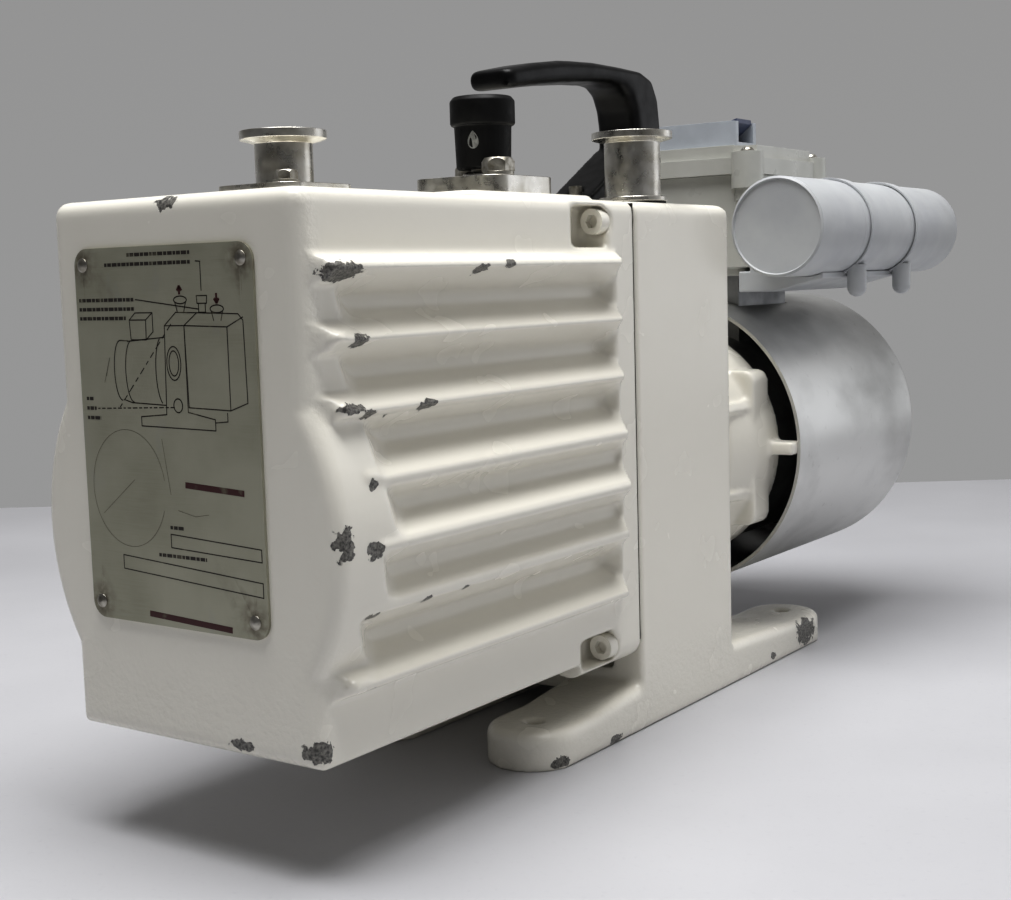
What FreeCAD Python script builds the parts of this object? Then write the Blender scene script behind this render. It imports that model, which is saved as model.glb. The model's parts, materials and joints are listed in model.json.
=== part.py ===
import FreeCAD, Part
import math
import os

# Rotary vane vacuum pump: an oil casing with the two-stage pump module inside it, a stand
# casting with two foot rails, and an air-cooled single-phase motor under an aluminium cowl.
# Millimetres. +Z is up, the motor is towards +Y, and the origin is on the floor at the
# centre of the four foot holes.

V = FreeCAD.Vector
X, Y, Z = V(1, 0, 0), V(0, 1, 0), V(0, 0, 1)

# --- driving dimensions -------------------------------------------------------------------
SHAFT_Z = 105.0            # height of the common pump and motor axis
HALF_WIDTH = 56.0          # flat sides of the casing and of the stand
CASE_FRONT = -257.0
JOINT_Y = -59.0            # where the casing meets the stand
STAND_REAR = 23.0
CASE_BOTTOM, TOP_Z = 37.5, 217.5
CASE_WALL = 5.0
GASKET = 1.0
FOOT_HOLE_X, FOOT_HOLE_Y, FOOT_HOLE_R = 37.5, 113.0, 3.5
RAIL_HALF = 18.5
RAIL_TIP_Z, RAIL_MID_Z = 15.0, 19.0
RIB_COUNT, RIB_TOP_Z, RIB_PITCH = 7, 192.5, 21.5
CREST_X = 64.0             # how far the ribs stand out from the centre plane
CREST_R = 2.7
EDGE_R = 5.0               # rounding of the casing's outer corners
VALLEY_X, VALLEY_HALF, VALLEY_SLOPE = 50.0, 2.4, 0.6     # floor of the hollows between ribs
RIB_FRONTS = (4, 4, 5, 12, 14, 9, 5)    # how far each rib starts behind the front face
BULGE_X, BULGE_Z, BULGE_R = 68.0, 108.5, 80.8
RIB_REAR = -72.0
SCREW_X, SCREW_TOP_Z, SCREW_LOW_Z = 51.0, 209.0, 39.6
RUNNING = 0.03             # radial clearance of a shaft in its bush

BODY_R = 43.0              # outside of the pump module and of the coupling tunnel
BORE_R, ROTOR_R = 31.5, 27.5
BORE_DROP = BORE_R - ROTOR_R - 0.05
SHAFT_R = 8.0
PLATE_T, FV_LENGTH, HV_LENGTH = 12.0, 20.0, 48.0
REAR_PLATE_Y = JOINT_Y - PLATE_T
FV_Y = REAR_PLATE_Y - FV_LENGTH
MID_PLATE_Y = FV_Y - PLATE_T
HV_Y = MID_PLATE_Y - HV_LENGTH
FRONT_COVER_Y = HV_Y - PLATE_T
VALVE_FLAT_Z = 140.0
VALVE_X = -14.0
END_GAP = 0.05

INTAKE_X, INTAKE_Y = 0.0, -201.0
INTAKE_FLANGE_R, INTAKE_TUBE_R, INTAKE_BORE_R = 15.0, 10.0, 8.0
EXHAUST_X, EXHAUST_Y = 36.5, -27.0
EXHAUST_FLANGE_R, EXHAUST_TUBE_R, EXHAUST_BORE_R = 17.0, 11.8, 10.0
EXHAUST_SPIGOT_R = EXHAUST_BORE_R + 1.0
BALLAST_X, BALLAST_Y, BALLAST_HALF, PAD_T = 14.0, -103.0, 21.0, 2.0
INTAKE_BOLTS, BALLAST_BOLTS = (12.5, 12.5), (15.0, 11.5)
KNOB_R, COLLAR_R = 11.2, 12.7

HANDLE_X, HANDLE_WIDTH = 6.0, 22.0
HANDLE_SCREWS = (-24, 6)

MOTOR_SHAFT_R = 8.5
BEARING_R, BEARING_W = 20.0, 12.0
FRONT_BEARING_Y, REAR_BEARING_Y = 42.0, 160.0
SHELL_R, SHELL_FRONT, SHELL_REAR = 54.0, 66.0, 158.0
CORE_FRONT, CORE_REAR = 80.0, 142.0
CORE_R, ROTOR_CORE_R = 51.0, 30.0
COWL_R, COWL_WALL, COWL_FRONT, COWL_REAR = 70.5, 1.6, 65.5, 217.6
BOX_HALF, BOX_FRONT, BOX_REAR, BOX_LOW, LID_LOW, LID_TOP = 36.0, 84.0, 162.0, 190.0, 235.0, 249.0
CAP_X, CAP_Z, CAP_R, CAP_FRONT, CAP_REAR = 65.0, 208.0, 23.0, 52.5, 238.0
CAP_SEAMS = (103.0, 163.0)

nodes = {}


# --- helpers ------------------------------------------------------------------------------
def box(x0, x1, y0, y1, z0, z1):
    return Part.makeBox(x1 - x0, y1 - y0, z1 - z0, V(x0, y0, z0))


def rod_x(y, z, r, x0, x1):
    return Part.makeCylinder(r, x1 - x0, V(x0, y, z), X)


def rod_y(x, z, r, y0, y1):
    return Part.makeCylinder(r, y1 - y0, V(x, y0, z), Y)


def rod_z(x, y, r, z0, z1):
    return Part.makeCylinder(r, z1 - z0, V(x, y, z0), Z)


def prism(points, direction):
    """A flat polygon pushed along a vector."""
    return Part.Face(Part.makePolygon(points + points[:1])).extrude(direction)


def prism_x(yz, x0, x1):
    return prism([V(x0, y, z) for y, z in yz], X * (x1 - x0))


def prism_y(xz, y0, y1):
    return prism([V(x, y0, z) for x, z in xz], Y * (y1 - y0))


def turned(profile, origin, axis):
    """A solid of revolution from (radius, height) points about an axis through origin."""
    side = Y if abs(axis.y) < 0.5 else X
    points = [origin + side * r + axis * h for r, h in profile]
    face = Part.Face(Part.makePolygon(points + points[:1]))
    return face.revolve(origin, axis, 360)


def hexagon(centre, axis, across_flats, length):
    """A hexagonal prism that starts at centre and runs along axis."""
    side = Y if abs(axis.y) < 0.5 else X
    other = axis.cross(side)
    r = across_flats / math.sqrt(3.0)
    points = []
    for k in range(6):
        turn = math.radians(60 * k)
        points.append(centre + side * (r * math.cos(turn)) + other * (r * math.sin(turn)))
    return prism(points, axis * length)


def fuse(shapes):
    first = shapes[0]
    return first.multiFuse(shapes[1:]).removeSplitter() if len(shapes) > 1 else first


def cut(shape, tools):
    return shape.cut(fuse(tools) if len(tools) > 1 else tools[0])


def edges_where(shape, test):
    return [e for e in shape.Edges if test(e)]


def runs_along(edge, axis):
    """True for a straight edge that is parallel to axis."""
    if not isinstance(edge.Curve, Part.Line):
        return False
    return abs(abs(edge.tangentAt(edge.FirstParameter).dot(axis)) - 1.0) < 1e-6


def rounded_box(x0, x1, y0, y1, z0, z1, r, axis=Z):
    """A box whose four edges along axis are rounded."""
    block = box(x0, x1, y0, y1, z0, z1)
    return block.makeFillet(r, edges_where(block, lambda e: runs_along(e, axis)))


def on_both_sides(shape):
    return [shape, shape.mirror(V(0, 0, 0), X)]


def socket_screw(seat, axis, thread_r, length, head_r, head_h):
    """A socket-head screw: axis points from the head to the tip, seat is under the head."""
    head = Part.makeCylinder(head_r, head_h, seat - axis * head_h, axis)
    head = head.makeChamfer(0.5, [e for e in head.Edges if not runs_along(e, axis)][:1])
    shank = Part.makeCylinder(thread_r, length, seat, axis)
    socket = hexagon(seat - axis * (head_h + 0.1), axis, thread_r * 1.66, head_h * 0.55)
    return cut(fuse([head, shank]), [socket])


def hex_bolt(seat, axis, thread_r, length, across_flats, head_h):
    head = hexagon(seat - axis * head_h, axis, across_flats, head_h)
    dome = turned([(0, -head_h - 0.01), (across_flats * 0.47, -head_h - 0.01),
                   (across_flats * 0.60, -head_h * 0.62), (across_flats * 0.60, 0), (0, 0)], seat, axis)
    shank = Part.makeCylinder(thread_r, length, seat, axis)
    return fuse([head.common(dome), shank])


def washer(seat, axis, hole_r, outer_r, thickness):
    ring = Part.makeCylinder(outer_r, thickness, seat, axis)
    return ring.cut(Part.makeCylinder(hole_r, thickness, seat, axis))


def slotted_screw(seat, axis, thread_r, length, head_r, head_h):
    profile = [(0, -head_h), (head_r * 0.7, -head_h), (head_r, -head_h * 0.45), (head_r, 0), (0, 0)]
    head = turned(profile, seat, axis)
    side = Y if abs(axis.y) < 0.5 else X
    other = axis.cross(side)
    top = seat - axis * (head_h + 0.05)
    corners = [(-1.2, -0.16), (1.2, -0.16), (1.2, 0.16), (-1.2, 0.16)]
    slot = prism([top + side * (head_r * i) + other * (head_r * j) for i, j in corners],
                 axis * (head_h * 0.5))
    shank = Part.makeCylinder(thread_r, length, seat, axis)
    return fuse([cut(head, [slot]), shank])


def keep(name, *solids):
    """A node is one solid, or several separate ones when it is a set of like pieces."""
    nodes[name] = solids[0] if len(solids) == 1 else Part.makeCompound(list(solids))


# --- oil casing ---------------------------------------------------------------------------
def rib_z(i):
    return RIB_TOP_Z - RIB_PITCH * i


def bulge_x(z):
    """Half-width of the bulged side at height z, where the bulge stands out at all."""
    reach = BULGE_R ** 2 - (z - BULGE_Z) ** 2
    return BULGE_X - BULGE_R + math.sqrt(reach)


def outline(inset):
    """Cross-section of the casing: flat sides with a shallow round bulge, inset all round."""
    half = HALF_WIDTH - inset
    front = CASE_FRONT + inset
    flat = box(-half, half, front, JOINT_Y - GASKET, CASE_BOTTOM + inset, TOP_Z - inset)
    flat = flat.makeFillet(EDGE_R, edges_where(flat, lambda e: e.BoundBox.YMax < front + 1 or (
        runs_along(e, Y) and e.BoundBox.ZMin > TOP_Z - inset - 1)))
    bulges = []
    for side in (-1, 1):
        drum = rod_y(side * (BULGE_X - BULGE_R), BULGE_Z, BULGE_R - inset, front, RIB_REAR + 3)
        rim = edges_where(drum, lambda e: e.BoundBox.YMax < front + 1 and not runs_along(e, Y))
        drum = drum.makeFillet(EDGE_R, rim)
        window = box(0, 200, CASE_FRONT, 0, BULGE_Z - 46, BULGE_Z + 46)
        bulges.append(drum.common(window if side > 0 else window.mirror(V(0, 0, 0), X)))
    return fuse([flat] + bulges)


def rib(i):
    """One long rib on the +X side, with a round crest that sinks into the front corner."""
    z = rib_z(i)
    crest = max(CREST_X, bulge_x(z) + 1.0) if abs(z - BULGE_Z) < 45 else CREST_X
    front = CASE_FRONT + RIB_FRONTS[i]
    root = 48.0
    web = prism_y([(root, z - 8.5), (crest - CREST_R, z - CREST_R), (crest - CREST_R, z + CREST_R),
                   (root, z + 8.5)], front, RIB_REAR)
    ramp = prism([V(HALF_WIDTH - 1, front - 1, z - 20), V(crest + 1, front - 1, z - 20),
                  V(crest + 1, front + 9, z - 20)], Z * 40)
    crown = rod_y(crest - CREST_R, z, CREST_R, front + 6, RIB_REAR)
    nose = Part.makeSphere(CREST_R, V(crest - CREST_R, front + 6, z))
    return fuse([web.cut(ramp), crown, nose])


def valley(i):
    """The hollow between rib i and the next one down, with sloped walls and a slanted front end."""
    z = rib_z(i) - RIB_PITCH / 2
    land_x = max(HALF_WIDTH + 1, bulge_x(z)) if abs(z - BULGE_Z) < 45 else HALF_WIDTH + 1
    floor_x = max(VALLEY_X, land_x - 10.0)
    top_y = CASE_FRONT + RIB_FRONTS[i] + 6
    low_y = CASE_FRONT + RIB_FRONTS[i + 1] + 14
    round_r = 3.5

    def ring(x):
        half = VALLEY_HALF + VALLEY_SLOPE * (x - floor_x)
        back = 1.2 * (land_x - x)
        rear = RIB_REAR - 3 + 0.5 * (x - land_x)
        slant = (low_y - top_y) / (2 * half)
        points = [V(x, top_y + back + slant * round_r, z + half - round_r * 0.3),
                  V(x, top_y + back + round_r, z + half), V(x, rear - 2, z + half), V(x, rear, z + half - 1),
                  V(x, rear, z - half + 1), V(x, rear - 2, z - half), V(x, low_y + back + round_r, z - half),
                  V(x, low_y + back, z - half + round_r * 0.5)]
        return Part.makePolygon(points + points[:1])

    return Part.makeLoft([ring(floor_x), ring(land_x + 16)], True, True)


def casing():
    body = outline(0)
    for side_rib in [rib(i) for i in range(RIB_COUNT)]:
        body = body.multiFuse(on_both_sides(side_rib))
    run_out = prism([V(HALF_WIDTH, RIB_REAR - 2, 0), V(90, RIB_REAR - 36, 0), V(90, JOINT_Y, 0),
                     V(HALF_WIDTH, JOINT_Y, 0)], Z * 250)
    body = cut(body, on_both_sides(run_out))
    for hollow in [valley(i) for i in range(RIB_COUNT - 1)]:
        body = cut(body, on_both_sides(hollow))
    pad = rounded_box(-14, 47, -157, -74, TOP_Z - 1, TOP_Z + PAD_T, 6)
    lug = fuse([rod_y(SCREW_X - 3.6, SCREW_LOW_Z, 8.6, -104, JOINT_Y - GASKET),
                box(30, HALF_WIDTH, -104, JOINT_Y - GASKET, SCREW_LOW_Z, 50)])
    body = fuse([body, pad] + on_both_sides(lug))
    inside = box(-47, 47, CASE_FRONT + CASE_WALL, JOINT_Y, CASE_BOTTOM + CASE_WALL + 0.5, TOP_Z - CASE_WALL)
    posts = []
    for z0, z1 in ((196, 213), (40, 52)):
        posts += on_both_sides(box(40, 50, -112, JOINT_Y + 1, z0, z1))
    body = cut(body, [cut(inside, posts)])
    pockets = []
    for z, z0, z1 in ((SCREW_TOP_Z, 199, 215), (SCREW_LOW_Z, 34, 47)):
        pockets += on_both_sides(prism([V(44, -80, z0), V(44, -88, z0), V(62, -116, z0), V(62, -80, z0)],
                                       Z * (z1 - z0)))
        pockets += on_both_sides(rod_y(SCREW_X, z, 5.8, -81, -78))
        pockets += on_both_sides(rod_y(SCREW_X, z, 3.0, -79, JOINT_Y))
    openings = [rod_z(INTAKE_X, INTAKE_Y, 9.0, 205, TOP_Z + 1), rod_z(BALLAST_X, BALLAST_Y, 6.0, 205, 225)]
    for x, y in port_bolts(INTAKE_X, INTAKE_Y, *INTAKE_BOLTS):
        openings.append(rod_z(x, y, 2.0, 212, 225))
    for x, y in port_bolts(BALLAST_X, BALLAST_Y, *BALLAST_BOLTS):
        openings.append(rod_z(x, y, 3.0, 212, 225))
    return cut(body, pockets + openings)


def port_bolts(x, y, reach_x, reach_y):
    """Two bolts across a diagonal of a port's base plate."""
    return [(x + reach_x, y - reach_y), (x - reach_x, y + reach_y)]


keep("oil_casing", casing())

seal = box(-55, 55, JOINT_Y - GASKET, JOINT_Y, CASE_BOTTOM + 1, TOP_Z - 1)
seal_window = box(-47, 47, -70, 0, 52, 196)
seal_holes = [rod_y(s * SCREW_X, z, 3.0, -70, 0) for s in (-1, 1) for z in (SCREW_TOP_Z, SCREW_LOW_Z)]
seals = [cut(seal, [seal_window] + seal_holes)]

keep("casing_screws", *[socket_screw(V(s * SCREW_X, -78, z), Y, 3.0, 36, 5.0, 6.0)
                        for s in (-1, 1) for z in (SCREW_TOP_Z, SCREW_LOW_Z)])

PLATE_X0, PLATE_X1, PLATE_Z0, PLATE_Z1 = -43.5, 38.5, 77.6, 201.6
RIVETS = [(-39.3, 196.2), (33.6, 196.6), (-39.1, 83.2), (32.8, 83.2)]
plate = rounded_box(PLATE_X0, PLATE_X1, CASE_FRONT - 1, CASE_FRONT, PLATE_Z0, PLATE_Z1, 6, Y)
keep("nameplate", cut(plate, [rod_y(x, z, 1.2, -260, -256) for x, z in RIVETS]))
rivet_profile = [(0, -2.2), (1.3, -2.0), (2.4, -1.3), (2.4, -1.0), (1.2, -1.0), (1.2, 0), (0, 0)]
keep("nameplate_rivets", *[turned(rivet_profile, V(x, CASE_FRONT, z), Y) for x, z in RIVETS])


# --- stand --------------------------------------------------------------------------------
def foot_rail():
    """A long foot with round ends, lowest at its tips and blended into the stand."""
    tip = FOOT_HOLE_Y + RAIL_HALF
    plan = fuse([box(FOOT_HOLE_X - RAIL_HALF, HALF_WIDTH, -FOOT_HOLE_Y, FOOT_HOLE_Y, 0, 40),
                 rod_z(FOOT_HOLE_X, -FOOT_HOLE_Y, RAIL_HALF, 0, 40),
                 rod_z(FOOT_HOLE_X, FOOT_HOLE_Y, RAIL_HALF, 0, 40)])
    side = prism_x([(-tip, 0), (tip, 0), (tip, RAIL_TIP_Z), (95, RAIL_TIP_Z), (STAND_REAR, RAIL_MID_Z),
                    (JOINT_Y, RAIL_MID_Z), (-95, RAIL_TIP_Z), (-tip, RAIL_TIP_Z)], 0, 80)
    rail = plan.common(side)
    upper = edges_where(rail, lambda e: e.BoundBox.ZMin > RAIL_TIP_Z - 0.5 and not runs_along(e, X))
    return rail.makeFillet(4.0, upper)


def stand():
    shell = box(-HALF_WIDTH, HALF_WIDTH, JOINT_Y, STAND_REAR, 12, TOP_Z)
    top_edges = edges_where(shell, lambda e: e.BoundBox.ZMin > TOP_Z - 1 and (
        runs_along(e, Y) or e.BoundBox.YMin > STAND_REAR - 1))
    shell = shell.makeFillet(5.0, top_edges)
    rails = on_both_sides(foot_rail())
    chamber = box(-50, 50, JOINT_Y - 1, 15, 24, 211)
    tunnel = rod_y(0, SHAFT_Z, BODY_R, JOINT_Y - 1, 15)
    webs = [box(-51, 51, -30, 15, SHAFT_Z - 3, SHAFT_Z + 3), box(-3, 3, -30, 15, 20, 70)]
    posts = []
    for z0, z1 in ((199, 212), (23, 50)):
        posts += on_both_sides(box(41, 51, JOINT_Y - 1, -30, z0, z1))
    drain_boss = rod_x(-18, 38, 12, -51, -42)
    fill_boss = rod_z(-30, -27, 10, 203, 212)
    port_boss = rod_z(EXHAUST_X, EXHAUST_Y, 16, 205, 212)
    chamber = cut(chamber, [tunnel] + webs + posts + [drain_boss, fill_boss, port_boss])
    body = cut(fuse([shell] + rails), [chamber])
    holes = [rod_y(0, SHAFT_Z, 32, JOINT_Y - 1, STAND_REAR + 1),
             rod_z(EXHAUST_X, EXHAUST_Y, EXHAUST_SPIGOT_R, 200, 220), rod_z(-30, -27, 6, 200, 220),
             rod_x(-18, 115, 10.5, -60, -49), rod_x(-18, 115, 14.5, -60, -51), rod_x(-18, 38, 6, -60, -41)]
    for s in (-1, 1):
        holes += [rod_y(s * SCREW_X, z, 3.0, JOINT_Y - 1, -36) for z in (SCREW_TOP_Z, SCREW_LOW_Z)]
        holes += [rod_z(s * FOOT_HOLE_X, y, FOOT_HOLE_R, -1, 40) for y in (-FOOT_HOLE_Y, FOOT_HOLE_Y)]
    holes += [rod_z(HANDLE_X, y, 3.0, 205, 220) for y in HANDLE_SCREWS]
    for x, z in module_screws():
        holes.append(rod_y(x, z, 2.5, JOINT_Y - 1, -40))
    for x, z in shield_screws():
        holes.append(rod_y(x, z, 3.0, 5, STAND_REAR + 1))
    return cut(body, holes)


def module_screws():
    """Places of the four long screws through the pump module."""
    reach = 38.5 * math.sqrt(0.5)
    return [(sx * reach, SHAFT_Z + sz * reach) for sx in (-1, 1) for sz in (-1, 1)]


def shield_screws():
    """Places of the four screws that hold the motor on the stand."""
    reach = 41.0 * math.sqrt(0.5)
    return [(sx * reach, SHAFT_Z + sz * reach) for sx in (-1, 1) for sz in (-1, 1)]


keep("pump_stand", stand())

glass_x = -HALF_WIDTH
keep("sight_glass", rod_x(-18, 115, 13.5, glass_x, glass_x + 4))
seals.append(rod_x(-18, 115, 13.5, glass_x + 4, glass_x + 5).cut(rod_x(-18, 115, 10.5, glass_x, glass_x + 8)))
ring = turned([(11.0, 0), (11.0, 3.5), (12.0, 4.2), (16.0, 4.2), (17.5, 2.8), (17.5, 0)],
              V(glass_x, -18, 115), X * -1)
notches = []
for k in range(4):
    notch = box(glass_x - 5, glass_x - 2.4, -18 - 1.5, -18 + 1.5, 115 + 13, 115 + 20)
    notch.rotate(V(0, -18, 115), X, 45 + 90 * k)
    notches.append(notch)
keep("sight_glass_ring", cut(ring, notches))
seals.append(rod_x(-18, 38, 9, glass_x - 1.2, glass_x).cut(rod_x(-18, 38, 6, glass_x - 2, glass_x)))
keep("oil_plugs", slotted_screw(V(glass_x - 1.2, -18, 38), X, 6.0, 12, 8.5, 4.0),
     hex_bolt(V(-30, -27, TOP_Z), Z * -1, 6.0, 12, 15, 5.0))


# --- ports and gas ballast ----------------------------------------------------------------
def small_flange(x, y, base_z, top_z, tube_r, bore_r, flange_r, recess_r, low_z):
    """A clamp flange on a tube: 3 mm rim, tapered back, and a recess for the centring ring."""
    slope = (flange_r - tube_r) * math.tan(math.radians(15))
    body = turned([(0, low_z), (bore_r + 1.0, low_z), (bore_r + 1.0, base_z), (tube_r, base_z),
                   (tube_r, top_z - 3 - slope), (flange_r, top_z - 3), (flange_r, top_z), (0, top_z)],
                  V(x, y, 0), Z)
    return cut(body, [rod_z(x, y, bore_r, low_z - 1, top_z + 1), rod_z(x, y, recess_r, top_z - 3, top_z + 1)])


INTAKE_GASKET_Z = TOP_Z + 0.8
INTAKE_PLATE_Z = INTAKE_GASKET_Z + 3.7
intake_tube = small_flange(INTAKE_X, INTAKE_Y, INTAKE_PLATE_Z, 240.5, INTAKE_TUBE_R, INTAKE_BORE_R,
                           INTAKE_FLANGE_R, 8.6, 211)
intake_base = rounded_box(-18, 18, INTAKE_Y - 18, INTAKE_Y + 18, INTAKE_GASKET_Z, INTAKE_PLATE_Z, 7)
intake_holes = [rod_z(x, y, 2.2, 210, 230) for x, y in port_bolts(INTAKE_X, INTAKE_Y, *INTAKE_BOLTS)]
keep("intake_port", cut(fuse([intake_base.cut(rod_z(0, INTAKE_Y, INTAKE_BORE_R, 200, 260)), intake_tube]),
                        intake_holes))
intake_seal = rounded_box(-17.5, 17.5, INTAKE_Y - 17.5, INTAKE_Y + 17.5, TOP_Z, INTAKE_GASKET_Z, 6.5)
seals.append(cut(intake_seal, intake_holes + [rod_z(0, INTAKE_Y, 9.0, 200, 240)]))

BALLAST_PLATE_Z0 = TOP_Z + PAD_T + 0.5
BALLAST_PLATE_Z1 = BALLAST_PLATE_Z0 + 7.0
ballast_base = rounded_box(BALLAST_X - BALLAST_HALF, BALLAST_X + BALLAST_HALF,
                           BALLAST_Y - BALLAST_HALF, BALLAST_Y + BALLAST_HALF,
                           BALLAST_PLATE_Z0, BALLAST_PLATE_Z1, 8)
ballast_neck = turned([(0, BALLAST_PLATE_Z0), (8.5, BALLAST_PLATE_Z0), (8.5, 228.5), (7.5, 229.5),
                       (0, 229.5)], V(BALLAST_X, BALLAST_Y, 0), Z)
ballast_holes = [rod_z(x, y, 3.2, 210, 240) for x, y in port_bolts(BALLAST_X, BALLAST_Y, *BALLAST_BOLTS)]
stem_hole = rod_z(BALLAST_X, BALLAST_Y, 5.0 + RUNNING, 200, 240)
keep("ballast_flange", cut(fuse([ballast_base, ballast_neck]), ballast_holes + [stem_hole]))
seal_half = BALLAST_HALF - 0.5
ballast_seal = rounded_box(BALLAST_X - seal_half, BALLAST_X + seal_half,
                           BALLAST_Y - seal_half, BALLAST_Y + seal_half,
                           TOP_Z + PAD_T, BALLAST_PLATE_Z0, 7.5)
seals.append(cut(ballast_seal, ballast_holes + [rod_z(BALLAST_X, BALLAST_Y, 6.0, 200, 240)]))

keep("port_washers",
     *[washer(V(x, y, INTAKE_PLATE_Z), Z, 2.1, 4.6, 0.9)
       for x, y in port_bolts(INTAKE_X, INTAKE_Y, *INTAKE_BOLTS)],
     *[washer(V(x, y, BALLAST_PLATE_Z1), Z, 3.1, 6.0, 1.4)
       for x, y in port_bolts(BALLAST_X, BALLAST_Y, *BALLAST_BOLTS)])
keep("port_bolts",
     *[hex_bolt(V(x, y, INTAKE_PLATE_Z + 0.9), Z * -1, 2.0, 10.4, 7.0, 3.2)
       for x, y in port_bolts(INTAKE_X, INTAKE_Y, *INTAKE_BOLTS)],
     *[hex_bolt(V(x, y, BALLAST_PLATE_Z1 + 1.4), Z * -1, 3.0, 15, 11.0, 5.2)
       for x, y in port_bolts(BALLAST_X, BALLAST_Y, *BALLAST_BOLTS)])

stem = fuse([rod_z(BALLAST_X, BALLAST_Y, 5.0, 206, 240), rod_z(BALLAST_X, BALLAST_Y, 3.0, 202, 206)])
keep("ballast_stem", cut(stem, [rod_x(BALLAST_Y, 209, 1.5, 0, 30)]))
knob_profile = [(0, 230.5), (10.2, 230.5), (10.7, 231.2), (KNOB_R, 247.0), (COLLAR_R - 0.4, 247.3),
                (COLLAR_R, 248.2), (COLLAR_R, 256.6), (11.3, 258.3), (0, 258.3)]
knob = turned(knob_profile, V(BALLAST_X, BALLAST_Y, 0), Z)
knob = cut(knob, [rod_z(BALLAST_X, BALLAST_Y, 5.0, 229, 240)])
keep("ballast_knob", knob)

exhaust_tube = small_flange(EXHAUST_X, EXHAUST_Y, TOP_Z + 1.0, 247.6, EXHAUST_TUBE_R, EXHAUST_BORE_R,
                            EXHAUST_FLANGE_R, 10.8, 206)
exhaust_foot = rod_z(EXHAUST_X, EXHAUST_Y, 14.5, TOP_Z + 1.0, TOP_Z + 3.0)
exhaust_foot = exhaust_foot.cut(rod_z(EXHAUST_X, EXHAUST_Y, EXHAUST_SPIGOT_R, 200, 230))
keep("exhaust_port", fuse([exhaust_tube, exhaust_foot]))
seals.append(washer(V(EXHAUST_X, EXHAUST_Y, TOP_Z), Z, EXHAUST_SPIGOT_R, 14.0, 1.0))
MIST_X, MIST_Z = 30.0, 183.0
canister = fuse([rod_y(MIST_X, MIST_Z, 16, -165, -62), rod_y(MIST_X, MIST_Z, 10, -63, -8)])
keep("demister", cut(canister, [rod_y(MIST_X, MIST_Z, 13, -162, -66), rod_y(MIST_X, MIST_Z, 8, -70, -12),
                                rod_z(MIST_X, -22, 5, MIST_Z, 200)]))


# --- carrying handle ----------------------------------------------------------------------
# Outer and inner edge of the grip, as (y, z) pairs, from the post up over the bend to the tip.
GRIP_EDGES = [((35, 240), (11, 240)), ((35, 255), (11, 254)), ((33, 267.7), (9.5, 261.5)),
              ((28, 275.8), (6, 268)), ((18, 279), (0, 271.5)), ((2, 279.5), (-8, 272)),
              ((-22, 279.4), (-24, 271)), ((-46, 278), (-46, 268.7)), ((-67, 275), (-66, 266)),
              ((-84, 271.6), (-83, 263.4))]
GRIP_ROUND = 4.5
TIP_LENGTH = 4.0


def rounded_ring(centre, along, half_along, half_x, r):
    """A closed rounded rectangle in the plane of X and the unit vector along."""
    a, b = half_along, half_x
    k = r * (1 - math.sqrt(0.5))

    def at(i, j):
        return centre + along * i + X * j

    pieces = [Part.makeLine(at(a, r - b), at(a, b - r)),
              Part.Arc(at(a, b - r), at(a - k, b - k), at(a - r, b)).toShape(),
              Part.makeLine(at(a - r, b), at(r - a, b)),
              Part.Arc(at(r - a, b), at(k - a, b - k), at(-a, b - r)).toShape(),
              Part.makeLine(at(-a, b - r), at(-a, r - b)),
              Part.Arc(at(-a, r - b), at(k - a, k - b), at(r - a, -b)).toShape(),
              Part.makeLine(at(r - a, -b), at(a - r, -b)),
              Part.Arc(at(a - r, -b), at(a - k, k - b), at(a, r - b)).toShape()]
    return Part.Wire(pieces)


def handle():
    """A cantilever grip: a sloped foot on the stand, a post, and an arm that runs forward."""
    rings = []
    for (y0, z0), (y1, z1) in GRIP_EDGES:
        outer, inner = V(HANDLE_X, y0, z0), V(HANDLE_X, y1, z1)
        across = outer - inner
        rings.append(rounded_ring((outer + inner) / 2, across / across.Length, across.Length / 2,
                                  HANDLE_WIDTH / 2, min(GRIP_ROUND, across.Length * 0.42)))
    (y0, z0), (y1, z1) = GRIP_EDGES[-1]
    middle, across = V(HANDLE_X, (y0 + y1) / 2, (z0 + z1) / 2), V(0, y0 - y1, z0 - z1)
    half = across.Length / 2
    forward = V(0, -across.z, across.y) / across.Length
    for step in (0.6, 0.9):
        shrink = math.sqrt(1 - step ** 2)
        reach = middle + forward * (TIP_LENGTH * step)
        rings.append(rounded_ring(reach, across / across.Length, half * shrink + 0.6,
                                  HANDLE_WIDTH / 2 - 2.5 * step ** 2, min(GRIP_ROUND, half * shrink)))
    grip = Part.makeLoft(rings, True, True)
    foot = prism_x([(-32, TOP_Z), (27, TOP_Z), (34, 241), (10, 244.5), (-29, 222)],
                   HANDLE_X - HANDLE_WIDTH / 2, HANDLE_X + HANDLE_WIDTH / 2)
    body = fuse([grip, foot])
    return cut(body, [rod_z(HANDLE_X, y, 3.0, 210, 227) for y in HANDLE_SCREWS])


keep("carry_handle", handle())
frame_screws = [socket_screw(V(HANDLE_X, y, 208), Z, 3.0, 19, 5.0, 3.0) for y in HANDLE_SCREWS]


# --- pump module --------------------------------------------------------------------------
def module_disc(y0, y1):
    disc = rod_y(0, SHAFT_Z, BODY_R, y0, y1)
    return cut(disc, [box(-60, 60, y0, y1, VALVE_FLAT_Z, 200)])


def with_screw_holes(shape):
    return cut(shape, [rod_y(x, z, 2.5, FRONT_COVER_Y - 1, JOINT_Y + 1) for x, z in module_screws()])


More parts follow.
